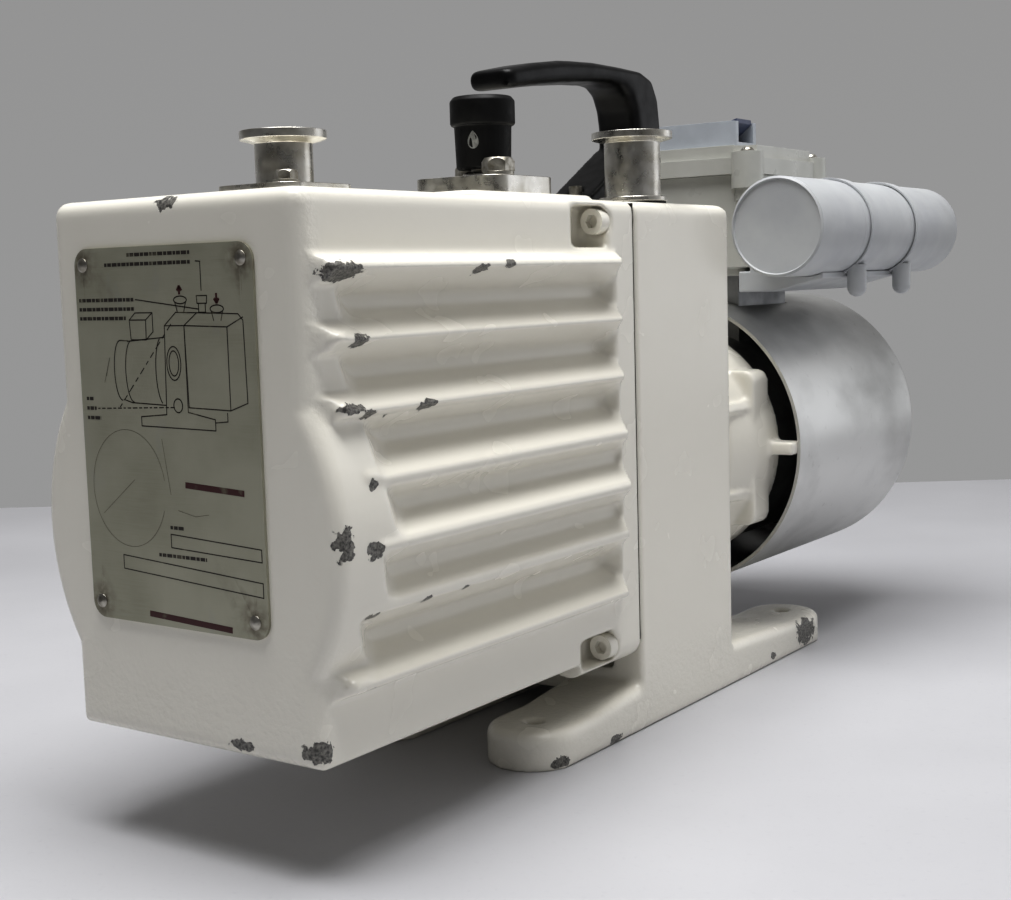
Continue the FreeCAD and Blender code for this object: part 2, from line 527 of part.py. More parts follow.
def stage(y0, y1, ports):
    """A stator ring with its eccentric bore, its exhaust drillings and the intake hole."""
    block = cut(module_disc(y0, y1), [rod_y(0, SHAFT_Z - BORE_DROP, BORE_R, y0, y1)])
    middle = (y0 + y1) / 2
    drills = [rod_z(VALVE_X, middle + dy, 2.0, 120, 145) for dy in ports]
    return with_screw_holes(cut(block, drills + [rod_z(14, middle, 4.0, 120, 145)]))


def bearing_plate(y0, y1, hole_r):
    return with_screw_holes(cut(module_disc(y0, y1), [rod_y(0, SHAFT_Z, hole_r, y0, y1)]))


BUSH_R = 11.0
keep("rear_plate", bearing_plate(REAR_PLATE_Y, JOINT_Y, BUSH_R))
keep("fore_stage_stator", stage(FV_Y, REAR_PLATE_Y, (-5, 5)))
keep("middle_plate", bearing_plate(MID_PLATE_Y, FV_Y, BUSH_R))
keep("main_stage_stator", stage(HV_Y, MID_PLATE_Y, (-12, 0, 12)))
front_cover = with_screw_holes(module_disc(FRONT_COVER_Y, HV_Y))
keep("front_cover", cut(front_cover, [rod_y(0, SHAFT_Z, BUSH_R, FRONT_COVER_Y + 2, HV_Y)]))
long_screws = [socket_screw(V(x, FRONT_COVER_Y, z), Y, 2.5, 120, 4.2, 5.0) for x, z in module_screws()]
bush_spans = [(FRONT_COVER_Y + 2, HV_Y), (MID_PLATE_Y, FV_Y), (REAR_PLATE_Y, JOINT_Y - 5)]
keep("shaft_bushes", *[rod_y(0, SHAFT_Z, BUSH_R, y0, y1).cut(rod_y(0, SHAFT_Z, SHAFT_R + RUNNING, y0, y1))
                       for y0, y1 in bush_spans])
seals.append(rod_y(0, SHAFT_Z, BUSH_R, JOINT_Y - 5, JOINT_Y).cut(
    rod_y(0, SHAFT_Z, SHAFT_R + RUNNING, JOINT_Y - 5, JOINT_Y)))
keep("gaskets_and_seals", *seals)
keep("pump_shaft", rod_y(0, SHAFT_Z, SHAFT_R, FRONT_COVER_Y + 3, -34))


SLOT_HALF, SLOT_FLOOR = 2.0, 11.0


def rotor(y0, y1):
    """A rotor with two vane slots opposite each other."""
    drum = rod_y(0, SHAFT_Z, ROTOR_R, y0 + END_GAP, y1 - END_GAP)
    slot = box(SLOT_FLOOR, 40, y0, y1, SHAFT_Z - SLOT_HALF, SHAFT_Z + SLOT_HALF)
    return cut(drum, on_both_sides(slot) + [rod_y(0, SHAFT_Z, SHAFT_R, y0, y1)])


def vane_pair(y0, y1):
    half = SLOT_HALF - 0.02
    vane = box(SLOT_FLOOR + 0.5, ROTOR_R - 0.6, y0 + 2 * END_GAP, y1 - 2 * END_GAP,
               SHAFT_Z - half, SHAFT_Z + half)
    return on_both_sides(vane)


keep("main_stage_rotor", rotor(HV_Y, MID_PLATE_Y))
keep("fore_stage_rotor", rotor(FV_Y, REAR_PLATE_Y))
keep("rotor_vanes", *vane_pair(HV_Y, MID_PLATE_Y), *vane_pair(FV_Y, REAR_PLATE_Y))

VALVE_T, VALVE_LIFT, VALVE_HALF_X = 0.5, 1.2, 5.0


def exhaust_valve(middle, half_y):
    return box(VALVE_X - VALVE_HALF_X, VALVE_X + VALVE_HALF_X, middle - half_y, middle + half_y,
               VALVE_FLAT_Z, VALVE_FLAT_Z + VALVE_T)


def valve_stop(middle, half_y):
    """A bridge over the valve plate that limits how far it lifts."""
    under = VALVE_FLAT_Z + VALVE_T + VALVE_LIFT + 0.1
    outer = box(VALVE_X - 10, VALVE_X + 10, middle - half_y, middle + half_y, VALVE_FLAT_Z, under + 1.5)
    room = box(VALVE_X - 5.4, VALVE_X + 5.4, middle - half_y - 1, middle + half_y + 1, VALVE_FLAT_Z, under)
    holes = [rod_z(VALVE_X + s * 7.6, middle, 1.5, 130, 150) for s in (-1, 1)]
    return cut(outer, [room] + holes)


hv_middle, fv_middle = (HV_Y + MID_PLATE_Y) / 2, (FV_Y + REAR_PLATE_Y) / 2
keep("main_exhaust_valve", exhaust_valve(hv_middle, 17))
keep("fore_exhaust_valve", exhaust_valve(fv_middle, 8.5))
keep("valve_stops", valve_stop(hv_middle, 16), valve_stop(fv_middle, 8))
stop_top = VALVE_FLAT_Z + VALVE_T + VALVE_LIFT + 1.6
short_screws = [slotted_screw(V(VALVE_X + s * 7.6, y, stop_top), Z * -1, 1.5, 3.2, 2.3, 1.4)
                for s in (-1, 1) for y in (hv_middle, fv_middle)]
keep("module_screws", *long_screws, *short_screws)


def intake_pipe():
    """Cast duct from the roof over to the main stage, with the valve chamber at its head."""
    head = rod_z(INTAKE_X, INTAKE_Y, 13, 192, TOP_Z - CASE_WALL)
    down = rod_z(INTAKE_X, INTAKE_Y, 10, 158, 194)
    run = rod_y(7, 168, 9.5, INTAKE_Y, hv_middle)
    drop = rod_z(12, hv_middle, 8.5, VALVE_FLAT_Z, 168)
    knee = Part.makeSphere(9.5, V(9, hv_middle, 168))
    body = fuse([head, down, run, knee, drop])
    hollow = [rod_z(INTAKE_X, INTAKE_Y, 10.4, 196, 220), rod_z(INTAKE_X, INTAKE_Y, 7.5, 161, 197),
              rod_y(7, 168, 6.5, INTAKE_Y, hv_middle), rod_z(12, hv_middle, 5.0, 130, 168)]
    return cut(body, hollow)


keep("intake_pipe", intake_pipe())
disc = rod_z(INTAKE_X, INTAKE_Y, 10.2, 196, 196.8)
mesh_holes = []
for row in range(-3, 4):
    for column in range(-3, 4):
        mesh_x, mesh_y = column * 2.6, row * 2.6
        if math.hypot(mesh_x, mesh_y) < 8.0 and (row, column) != (0, 0):
            mesh_holes.append(rod_z(INTAKE_X + mesh_x, INTAKE_Y + mesh_y, 0.9, 195, 198))
keep("intake_strainer", cut(disc, mesh_holes))
keep("intake_valve", fuse([rod_z(INTAKE_X, INTAKE_Y, 8.7, 208.8, 210.8),
                           rod_z(INTAKE_X, INTAKE_Y, 2.0, 203.5, 209)]))


# --- coupling -----------------------------------------------------------------------------
def sector(turn, half, r0, r1, y0, y1):
    """A slice of a ring round the shaft axis: turn and half are angles in degrees."""
    corners = [V(0, y0, SHAFT_Z)]
    for angle in (turn - half, turn + half):
        a = math.radians(angle)
        corners.append(V(2 * r1 * math.cos(a), y0, SHAFT_Z + 2 * r1 * math.sin(a)))
    ring = rod_y(0, SHAFT_Z, r1, y0, y1)
    if r0 > 0:
        ring = ring.cut(rod_y(0, SHAFT_Z, r0, y0, y1))
    return prism(corners, Y * (y1 - y0)).common(ring)


def claw_half(y0, y1, claw_end, shaft_r, start):
    """A coupling half: a hub with three claws that reach towards claw_end."""
    hub = rod_y(0, SHAFT_Z, 22, y0, y1)
    low, high = (y1 - 1, claw_end) if claw_end > y1 else (claw_end, y0 + 1)
    claws = [sector(start + 120 * k, 22, 10, 21.5, low, high) for k in range(3)]
    return cut(fuse([hub] + claws), [rod_y(0, SHAFT_Z, shaft_r, y0, y1)])


def coupling_star():
    arms = [sector(30 + 60 * k, 7.6, 0, 20.5, -31.5, -20.5) for k in range(6)]
    return cut(fuse([rod_y(0, SHAFT_Z, 9.5, -31.5, -20.5)] + arms), [rod_y(0, SHAFT_Z, 4, -40, 0)])


keep("pump_coupling_half", claw_half(-50, -32, -21.5, SHAFT_R, 0))
keep("motor_coupling_half", claw_half(-20, -2, -30.5, MOTOR_SHAFT_R, 60))
keep("coupling_star", coupling_star())


# --- motor --------------------------------------------------------------------------------
COWL_SCREW_ANGLES = (-70, -110)
COWL_SCREW_Y = 76.0


def radial_rod(angle, r, r0, r1):
    """A round bar that points outwards from the shaft axis at the cowl's front screws."""
    turn = math.radians(angle)
    out = V(math.cos(turn), 0, math.sin(turn))
    return Part.makeCylinder(r, r1 - r0, V(0, COWL_SCREW_Y, SHAFT_Z) + out * r0, out)


def front_shield():
    """The motor's front end shield: a ribbed bell from the stand to the motor shell."""
    outer = turned([(0, 17), (32, 17), (32, 23), (47, 23), (47, 27), (51, 34), (55.5, 52), (57, 60),
                    (57, 72), (0, 72)], V(0, 0, SHAFT_Z), Y)
    hollow = turned([(0, 54), (24, 54), (26, 33), (44, 33), (48, 45), (SHELL_R - 3, 60), (SHELL_R - 3, 66),
                     (SHELL_R, 66), (SHELL_R, 73), (0, 73)], V(0, 0, SHAFT_Z), Y)
    spokes = []
    for k in range(4):
        spoke = box(50, COWL_R, 60, 71, SHAFT_Z - 3, SHAFT_Z + 3)
        spoke.rotate(V(0, 0, SHAFT_Z), Y, 90 * k)
        spokes.append(spoke.common(rod_y(0, SHAFT_Z, COWL_R - COWL_WALL, 60, 71)))
    ribs = []
    for k in range(8):
        web = prism_x([(24, 40), (24, 53), (58, 57), (58, 40)], -2.5, 2.5)
        web.translate(V(0, 0, SHAFT_Z))
        web.rotate(V(0, 0, SHAFT_Z), Y, 22.5 + 45 * k)
        ribs.append(web)
    ears = []
    for x, z in shield_screws():
        ears.append(rod_y(x, z, 8.5, 23, 33))
    square = rounded_box(-54, 54, 50, 66, SHAFT_Z - 36, SHAFT_Z + 37, 5, Y)
    body = fuse([outer, square] + spokes + ribs + ears)
    shaft_room = rod_y(0, SHAFT_Z, 10, 10, 80)
    seat = rod_y(0, SHAFT_Z, BEARING_R, FRONT_BEARING_Y, 80)
    body = cut(body, [hollow])
    hub = rod_y(0, SHAFT_Z, 26, 30, FRONT_BEARING_Y + BEARING_W)
    screw_holes = [rod_y(x, z, 3.2, 16, 34) for x, z in shield_screws()]
    pockets = [rod_y(x, z, 5.6, 31, 60) for x, z in shield_screws()]
    return cut(fuse([body, hub]), [shaft_room, seat] + screw_holes + pockets)


keep("front_end_shield", front_shield())
frame_screws += [socket_screw(V(x, 31, z), Y * -1, 3.0, 24, 5.0, 6.0) for x, z in shield_screws()]
keep("frame_screws", *frame_screws)
shell = rod_y(0, SHAFT_Z, SHELL_R, SHELL_FRONT, SHELL_REAR).cut(
    rod_y(0, SHAFT_Z, CORE_R, SHELL_FRONT, SHELL_REAR))
pedestal = box(-24, 24, 96, 150, 145, 186).cut(rod_y(0, SHAFT_Z, CORE_R, 90, 160))
wire_way = box(-10, 10, 112, 134, 140, 190)
cowl_room = rod_y(0, SHAFT_Z, COWL_R - COWL_WALL, SHELL_FRONT, SHELL_REAR)
standoffs = [radial_rod(a, 4.0, SHELL_R - 1.5, COWL_R).common(cowl_room).cut(radial_rod(a, 1.6, 50, 72))
             for a in COWL_SCREW_ANGLES]
keep("motor_shell", cut(fuse([shell, pedestal] + standoffs), [wire_way]))

core = rod_y(0, SHAFT_Z, CORE_R, CORE_FRONT, CORE_REAR).cut(
    rod_y(0, SHAFT_Z, ROTOR_CORE_R + 0.4, CORE_FRONT, CORE_REAR))
slots = []
for k in range(24):
    slot = box(33, 43, CORE_FRONT, CORE_REAR, SHAFT_Z - 1.9, SHAFT_Z + 1.9)
    slot.rotate(V(0, 0, SHAFT_Z), Y, 15 * k)
    slots.append(slot)
keep("stator_core", cut(core, slots))


def winding():
    """Copper in the 24 slots, tied together by a rounded end turn at each end."""
    bars = []
    for k in range(24):
        bar = box(33.6, 42.4, CORE_FRONT - 1, CORE_REAR + 1, SHAFT_Z - 1.6, SHAFT_Z + 1.6)
        bar.rotate(V(0, 0, SHAFT_Z), Y, 15 * k)
        bars.append(bar)
    ends = []
    for y0 in (CORE_FRONT - 12, CORE_REAR):
        end = turned([(33, y0 + 2), (35, y0), (46, y0), (48, y0 + 2), (48, y0 + 10), (46, y0 + 12),
                      (35, y0 + 12), (33, y0 + 10)], V(0, 0, SHAFT_Z), Y)
        ends.append(end)
    return fuse(ends + bars)


keep("stator_winding", winding())
keep("rotor_core", rod_y(0, SHAFT_Z, ROTOR_CORE_R, CORE_FRONT - 5, CORE_REAR + 5).cut(
    rod_y(0, SHAFT_Z, 10, 0, 300)))
motor_shaft = fuse([rod_y(0, SHAFT_Z, MOTOR_SHAFT_R, -19, 205),
                    rod_y(0, SHAFT_Z, 10, FRONT_BEARING_Y + BEARING_W, REAR_BEARING_Y)])
keep("motor_shaft", motor_shaft)
BEARINGS = (FRONT_BEARING_Y, REAR_BEARING_Y)
keep("bearing_outer_rings", *[rod_y(0, SHAFT_Z, BEARING_R, y, y + BEARING_W).cut(
    rod_y(0, SHAFT_Z, 17, y, y + BEARING_W)) for y in BEARINGS])
races = [rod_y(0, SHAFT_Z, 11.5, y, y + BEARING_W).cut(
    rod_y(0, SHAFT_Z, MOTOR_SHAFT_R, y, y + BEARING_W)) for y in BEARINGS]
balls = []
for y in BEARINGS:
    for k in range(8):
        turn = math.radians(45 * k)
        balls.append(Part.makeSphere(2.68, V(14.25 * math.cos(turn), y + BEARING_W / 2,
                                             SHAFT_Z + 14.25 * math.sin(turn))))
keep("bearing_inner_rings_and_balls", *races, *balls)

rear_shield = turned([(17, REAR_BEARING_Y + BEARING_W + 3), (26, REAR_BEARING_Y + BEARING_W + 3),
                      (27, SHELL_REAR + 8), (SHELL_R, SHELL_REAR + 8), (SHELL_R, SHELL_REAR),
                      (CORE_R, SHELL_REAR), (CORE_R, SHELL_REAR - 3), (48.5, SHELL_REAR - 3),
                      (47, SHELL_REAR + 3), (BEARING_R, SHELL_REAR + 2),
                      (BEARING_R, REAR_BEARING_Y + BEARING_W), (17, REAR_BEARING_Y + BEARING_W)],
                     V(0, 0, SHAFT_Z), Y)
keep("rear_end_shield", rear_shield)


def fan():
    hub = rod_y(0, SHAFT_Z, 16, 180, 204)
    disc = rod_y(0, SHAFT_Z, 58, 184, 186)
    blades = []
    for k in range(9):
        blade = box(14, 60, 185, 206, SHAFT_Z - 1, SHAFT_Z + 1)
        blade.rotate(V(0, 0, SHAFT_Z), Y, 40 * k)
        blades.append(blade)
    wheel = fuse([hub, disc] + blades)
    return cut(wheel, [rod_y(0, SHAFT_Z, MOTOR_SHAFT_R, 170, 210)])


keep("cooling_fan", fan())


def cowl():
    """A spun cup open towards the pump, with slots in its back for the cooling air."""
    edge = 9.0
    cup = rod_y(0, SHAFT_Z, COWL_R, COWL_FRONT, COWL_REAR)
    rear = edges_where(cup, lambda e: e.BoundBox.YMin > COWL_REAR - 1 and not runs_along(e, Y))
    cup = cup.makeFillet(edge, rear)
    inner = rod_y(0, SHAFT_Z, COWL_R - COWL_WALL, COWL_FRONT, COWL_REAR - COWL_WALL)
    rear = edges_where(inner, lambda e: e.BoundBox.YMin > COWL_REAR - 2 and not runs_along(e, Y))
    inner = inner.makeFillet(edge - COWL_WALL, rear)
    slots = []
    for row in range(-4, 5):
        z = SHAFT_Z + row * 11.0
        half = math.sqrt(54.0 ** 2 - (row * 11.0) ** 2)
        slots.append(rounded_box(-half, half, COWL_REAR - 5, COWL_REAR + 1, z - 2.6, z + 2.6, 2.5, Y)
                     .cut(box(-2.5, 2.5, COWL_REAR - 6, COWL_REAR + 2, z - 4, z + 4)))
    window = box(-25, 25, 95, 151, 150, 180)
    screw_holes = [radial_rod(a, 1.6, 60, 74) for a in COWL_SCREW_ANGLES]
    return cut(cup, [inner] + slots + [window] + screw_holes)


keep("fan_cowl", cowl())
cover_screws = []
for angle in COWL_SCREW_ANGLES:
    turn = math.radians(angle)
    out = V(math.cos(turn), 0, math.sin(turn))
    cover_screws.append(slotted_screw(V(0, COWL_SCREW_Y, SHAFT_Z) + out * COWL_R, out * -1, 1.6, 9, 3.4, 1.8))


# --- electrics ----------------------------------------------------------------------------
BOSS_R, BOSS_LOW = 7.8, 228.0
COLUMNS = [(sx * 34.5, y) for sx in (-1, 1) for y in (BOX_FRONT + 2, BOX_REAR - 2)]


def terminal_box():
    outer = rounded_box(-BOX_HALF, BOX_HALF, BOX_FRONT, BOX_REAR, BOX_LOW, LID_LOW, 5)
    foot = rounded_box(-30, 30, 90, 156, 186, BOX_LOW + 1, 4)
    columns = [rod_z(x, y, 6, 222, LID_LOW) for x, y in COLUMNS]
    inner = rounded_box(-BOX_HALF + 3, BOX_HALF - 3, BOX_FRONT + 3, BOX_REAR - 3, BOX_LOW + 3, LID_LOW + 1, 3)
    inner = cut(inner, [rod_z(x, y, 6, 180, 240) for x, y in COLUMNS])
    holes = [rod_z(x, y, 1.5, 223, 240) for x, y in COLUMNS]
    holes += [box(-10, 10, 112, 134, 180, 200), rod_x(132, 212, 8.0, -40, -30)]
    return cut(fuse([outer, foot] + columns), [inner] + holes)


def box_lid():
    """The lid overhangs the box, and each corner is notched down over its screw."""
    lower = rounded_box(-39, 39, BOX_FRONT - 3, BOX_REAR + 3, LID_LOW, 243, 6)
    upper = rounded_box(-36.5, 36.5, BOX_FRONT - 0.5, BOX_REAR + 0.5, 243, LID_TOP, 6)
    columns = [rod_z(x, y, BOSS_R, BOSS_LOW, 245.5) for x, y in COLUMNS]
    room = rounded_box(-BOX_HALF - 0.1, BOX_HALF + 0.1, BOX_FRONT - 0.1, BOX_REAR + 0.1, 220, LID_LOW, 5)
    room = fuse([room] + [rod_z(x, y, 6.1, 220, LID_LOW) for x, y in COLUMNS])
    hollow = rounded_box(-33, 33, BOX_FRONT + 3, BOX_REAR - 3, LID_LOW - 1, LID_TOP - 3, 4)
    hollow = cut(hollow, [rod_z(x, y, 7, 230, 260) for x, y in COLUMNS])
    notches = [rod_z(x, y, 6.4, 245.5, 260) for x, y in COLUMNS]
    holes = [rod_z(x, y, 1.7, 230, 260) for x, y in COLUMNS]
    return cut(cut(fuse([lower, upper] + columns), [hollow, room] + notches), holes)


keep("terminal_box", terminal_box())
keep("terminal_box_lid", box_lid())
cover_screws += [slotted_screw(V(x, y, 245.5), Z * -1, 1.5, 20, 3.2, 2.0) for x, y in COLUMNS]
keep("cover_screws", *cover_screws)
block = box(-22, 22, 105, 111, BOX_LOW + 3, 208)
block_base = box(-24, 24, 101, 111, BOX_LOW + 3, 198)
studs = [rod_z(-16 + 16 * k, 103, 1.6, 198, 206) for k in range(3)]
keep("terminal_block", fuse([block, block_base] + studs))

SWITCH_FRONT, SWITCH_REAR, SWITCH_TOP, SWITCH_HALF = BOX_FRONT + 3, BOX_FRONT + 29, 261.0, 27.0
ROCKER_X, ROCKER_Y, ROCKER_Z = 14.5, (SWITCH_FRONT + SWITCH_REAR) / 2, 257.8
ROCKER_HALF, ROCKER_TILT = 12.0, 10.0
housing = rounded_box(-SWITCH_HALF, SWITCH_HALF, SWITCH_FRONT, SWITCH_REAR, LID_TOP, SWITCH_TOP, 2.5)
trough = box(0, SWITCH_HALF + 2, SWITCH_FRONT + 5, SWITCH_REAR - 5, LID_TOP + 2, SWITCH_TOP + 1)
pin_hole = rod_y(ROCKER_X, ROCKER_Z, 1.5, SWITCH_FRONT + 2, SWITCH_REAR - 2)
keep("switch_housing", cut(housing, [trough, pin_hole]))
rocker = prism_y([(-ROCKER_HALF, 2.6), (0, 1.4), (ROCKER_HALF, 2.6), (ROCKER_HALF, 0.5), (5, -3.5),
                  (-5, -3.5), (-ROCKER_HALF, 0.5)], SWITCH_FRONT + 5.2, SWITCH_REAR - 5.2)
rocker.translate(V(ROCKER_X, 0, ROCKER_Z))
rocker.rotate(V(ROCKER_X, 0, ROCKER_Z), Y, -ROCKER_TILT)
pin = rod_y(ROCKER_X, ROCKER_Z, 1.5 - RUNNING, SWITCH_FRONT + 2.2, SWITCH_REAR - 2.2)
keep("switch_rocker", fuse([rocker, pin]))

gland = turned([(5.0, -6), (8.0, -6), (8.0, 0), (11.0, 0), (11.0, 6), (9.5, 7), (10, 8), (10, 17),
                (8.5, 19), (5.0, 19)], V(-BOX_HALF, 132, 212), X * -1)
keep("cable_gland", gland)


def capacitor():
    """A round can in a moulded cover: a front cup, a middle sleeve and a rear cup."""
    a, b = CAP_SEAMS
    return turned([(0, CAP_FRONT + 1), (CAP_R - 1.6, CAP_FRONT + 1), (CAP_R - 1.2, CAP_FRONT),
                   (CAP_R, CAP_FRONT + 0.8), (CAP_R, a - 0.6), (CAP_R - 0.6, a - 0.6), (CAP_R - 0.6, a),
                   (CAP_R - 0.2, a), (CAP_R - 0.2, b - 0.6), (CAP_R - 0.8, b - 0.6), (CAP_R - 0.8, b),
                   (CAP_R - 0.4, b), (CAP_R - 0.4, CAP_REAR - 6), (CAP_R - 2, CAP_REAR - 1.8),
                   (CAP_R - 6, CAP_REAR), (0, CAP_REAR)], V(CAP_X, 0, CAP_Z), Y)


keep("start_capacitor", capacitor())


def saddle():
    """A cast shelf off the terminal box's foot, hollowed to the round of the capacitor."""
    shelf = box(30, 74, 84, 176, 178, 192)
    shelf = shelf.cut(rod_y(CAP_X, CAP_Z, CAP_R, 40, 250))
    shelf = shelf.cut(box(20, BOX_HALF, 80, 180, 188, 200))
    shelf = shelf.cut(prism_y([(50, 178), (74.1, 178), (74.1, 184)], 80, 180))
    return cut(shelf, [box(20, 30, 80, 180, 170, 200)])


keep("capacitor_saddle", saddle())


def strap(y):
    """A plastic strap round the capacitor that ends in a screw ear underneath."""
    band = rod_y(CAP_X, CAP_Z, CAP_R + 1.0, y - 4, y + 4).cut(rod_y(CAP_X, CAP_Z, CAP_R, y - 5, y + 5))
    ear = fuse([rod_z(CAP_X + 14, y, 4.6, 179, 190), Part.makeSphere(4.6, V(CAP_X + 14, y, 179))])
    ear = ear.cut(rod_y(CAP_X, CAP_Z, CAP_R, y - 10, y + 10))
    return fuse([band, ear]).cut(saddle())


keep("capacitor_straps", strap(CAP_SEAMS[0] + 10), strap(CAP_SEAMS[1] + 9))

os.makedirs("parts", exist_ok=True)
for name, shape in nodes.items():
    shape.exportStep("parts/" + name + ".step")
    print(name, len(shape.Solids), "solid(s)", round(shape.Volume), "mm3", shape.isValid())
print(len(nodes), "nodes")
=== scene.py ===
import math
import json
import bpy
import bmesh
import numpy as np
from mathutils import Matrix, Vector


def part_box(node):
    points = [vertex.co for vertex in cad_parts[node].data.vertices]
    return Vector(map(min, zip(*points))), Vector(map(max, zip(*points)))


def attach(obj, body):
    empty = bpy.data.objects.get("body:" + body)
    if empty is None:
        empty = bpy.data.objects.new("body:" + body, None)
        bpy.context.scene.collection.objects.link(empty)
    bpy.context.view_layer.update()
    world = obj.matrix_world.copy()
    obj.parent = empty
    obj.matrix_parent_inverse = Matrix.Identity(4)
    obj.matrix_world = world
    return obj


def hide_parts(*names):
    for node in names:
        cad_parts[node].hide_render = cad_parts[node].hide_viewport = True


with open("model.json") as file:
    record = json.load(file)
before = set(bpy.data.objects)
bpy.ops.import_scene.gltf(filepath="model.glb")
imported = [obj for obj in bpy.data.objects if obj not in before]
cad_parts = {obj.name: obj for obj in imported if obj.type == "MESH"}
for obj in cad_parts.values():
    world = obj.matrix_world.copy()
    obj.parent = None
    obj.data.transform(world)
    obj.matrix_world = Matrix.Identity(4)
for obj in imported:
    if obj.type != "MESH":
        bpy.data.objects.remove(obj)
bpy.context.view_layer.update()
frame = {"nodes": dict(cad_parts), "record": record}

# %% [markdown]
# # A rotary vane vacuum pump, from engineering model to picture
# The engineering model of the pump is already loaded: every casting, cover and screw is there
# at its true size in metres, but each one is a plain solid with sharp edges and a flat colour.
# This lesson turns it into a picture of an old laboratory pump: cream enamel over rough castings,
# chipped on its ribs, with bright turned flanges, black plastics and a spun aluminium cowl.
#
# The order is: helpers, materials, softened copies of the solids, small details that only the
# eye needs (printed lines, paint chips, stains), then the table, the light and the camera.

MM = 0.001
scene = bpy.context.scene
BODY_OF = {}
for body, members in frame["record"]["behaviour"]["bodies"].items():
    for member in members:
        BODY_OF[member] = body
SLOT_OF = {part["node"]: part["material_slot"] for part in frame["record"]["subparts"]}

# %% [markdown]
# ## Small helpers
# Colours are chosen as the hex numbers a paint chart or a colour picker gives, which are sRGB.
# Shaders work in linear light, so one function converts them. A second function adds a shader
# node with its settings and links, and the recipes after it are all built from that one.
# Pattern sizes are thought of in millimetres: a noise of scale 1000 / 3 has features about 3 mm wide.

# %% Colour and node helpers
def linear(hex_colour):
    """'#rrggbb' in sRGB to a linear RGBA tuple."""
    channels = [int(hex_colour[i:i + 2], 16) / 255 for i in (1, 3, 5)]
    return tuple(c / 12.92 if c < 0.04045 else ((c + 0.055) / 1.055) ** 2.4 for c in channels) + (1.0,)


def add(tree, kind, settings=None, links=None, stops=()):
    """Adds one node. A setting is an input if the node has an input of that name or number, a link
    feeds a socket in, and stops are the (position, colour) ends of a colour ramp."""
    node = tree.nodes.new(kind)
    for key, value in (settings or {}).items():
        if isinstance(key, int) or key in node.inputs:
            node.inputs[key].default_value = value
        else:
            setattr(node, key, value)
    for key, socket in (links or {}).items():
        tree.links.new(socket, node.inputs[key])
    for number, (position, colour) in enumerate(stops):
        node.color_ramp.elements[number].position = position
        node.color_ramp.elements[number].color = colour
    return node


def start(name):
    """A new material: its tree, its principled shader and the object coordinates."""
    material = bpy.data.materials.new(name)
    material.use_nodes = True
    tree = material.node_tree
    shader = tree.nodes["Principled BSDF"]
    place = add(tree, "ShaderNodeTexCoord").outputs["Object"]
    return material, tree, shader, place


print("the enamel's cream in linear light:", [round(c, 3) for c in linear("#cbcbc8")[:3]])

# %% [markdown]
# ## Patches, coats and relief
# Almost every worn surface is patches of one thing over another. Noise gives the patches, and a
# pair of thresholds says how sharply they end. A finish is then described as it was made and as it
# aged: a base colour, coats laid over it wherever their patches are white, and layers of relief.
# Wear that belongs to a place, such as a chip, is stored on the vertices and read back by name.

# %% Recipes made of several nodes
def grey(value):
    return (value, value, value, 1)


def patches(tree, place, size, detail, span=None, ends=(0, 1), stretch=(1, 1, 1)):
    """Noise about size millimetres wide. With a span, it runs between two greys over that part of it."""
    spot = add(tree, "ShaderNodeMapping", {"Scale": stretch}, {"Vector": place}).outputs["Vector"]
    cloud = add(tree, "ShaderNodeTexNoise", {"Scale": 1 / (size * MM), "Detail": detail},
                {"Vector": spot}).outputs["Fac"]
    if span is None:
        return cloud
    stops = [(at, grey(end)) for at, end in zip(span, ends)]
    return add(tree, "ShaderNodeValToRGB", None, {"Fac": cloud}, stops).outputs["Color"]


def stored(tree, name, span=(0, 1), top=1):
    """A number kept on the vertices, black at the start of span and as bright as top at its end."""
    value = add(tree, "ShaderNodeAttribute", {"attribute_name": name}).outputs["Fac"]
    stops = [(span[0], grey(0)), (span[1], grey(top))]
    return add(tree, "ShaderNodeValToRGB", None, {"Fac": value}, stops).outputs["Color"]


def broken(tree, name, gaps):
    """Stored wear that patches break up, so that it ends raggedly."""
    return add(tree, "ShaderNodeMix", {"data_type": "RGBA", "blend_type": "MULTIPLY", 0: 1.0},
               {6: stored(tree, name), 7: gaps}).outputs[2]


def coats(tree, base, *layers):
    """Lays coats over base, each where its mask is white. A colour is a hex number or a socket."""
    for mask, colour in layers:
        mix = add(tree, "ShaderNodeMix", {"data_type": "RGBA"}, {0: mask})
        for number, value in ((6, base), (7, colour)):
            if isinstance(value, str):
                mix.inputs[number].default_value = linear(value)
            else:
                tree.links.new(value, mix.inputs[number])
        base = mix.outputs[2]
    return base


def dress(tree, shader, colour, roughness, metallic=0.0, relief=()):
    """Gives the shader its finish. Relief is a list of (height, depth in mm, strength), deepest first."""
    tree.links.new(colour, shader.inputs["Base Color"])
    if isinstance(roughness, float):
        shader.inputs["Roughness"].default_value = roughness
    else:
        tree.links.new(roughness, shader.inputs["Roughness"])
    shader.inputs["Metallic"].default_value = metallic
    below = {}
    for height, depth, strength in relief:
        layer = add(tree, "ShaderNodeBump", {"Strength": strength, "Distance": depth * MM},
                    {"Height": height, **below})
        below = {"Normal": layer.outputs["Normal"]}
        tree.links.new(layer.outputs["Normal"], shader.inputs["Normal"])


print("patches 3 mm wide have a texture scale of", round(1 / (3 * MM)))
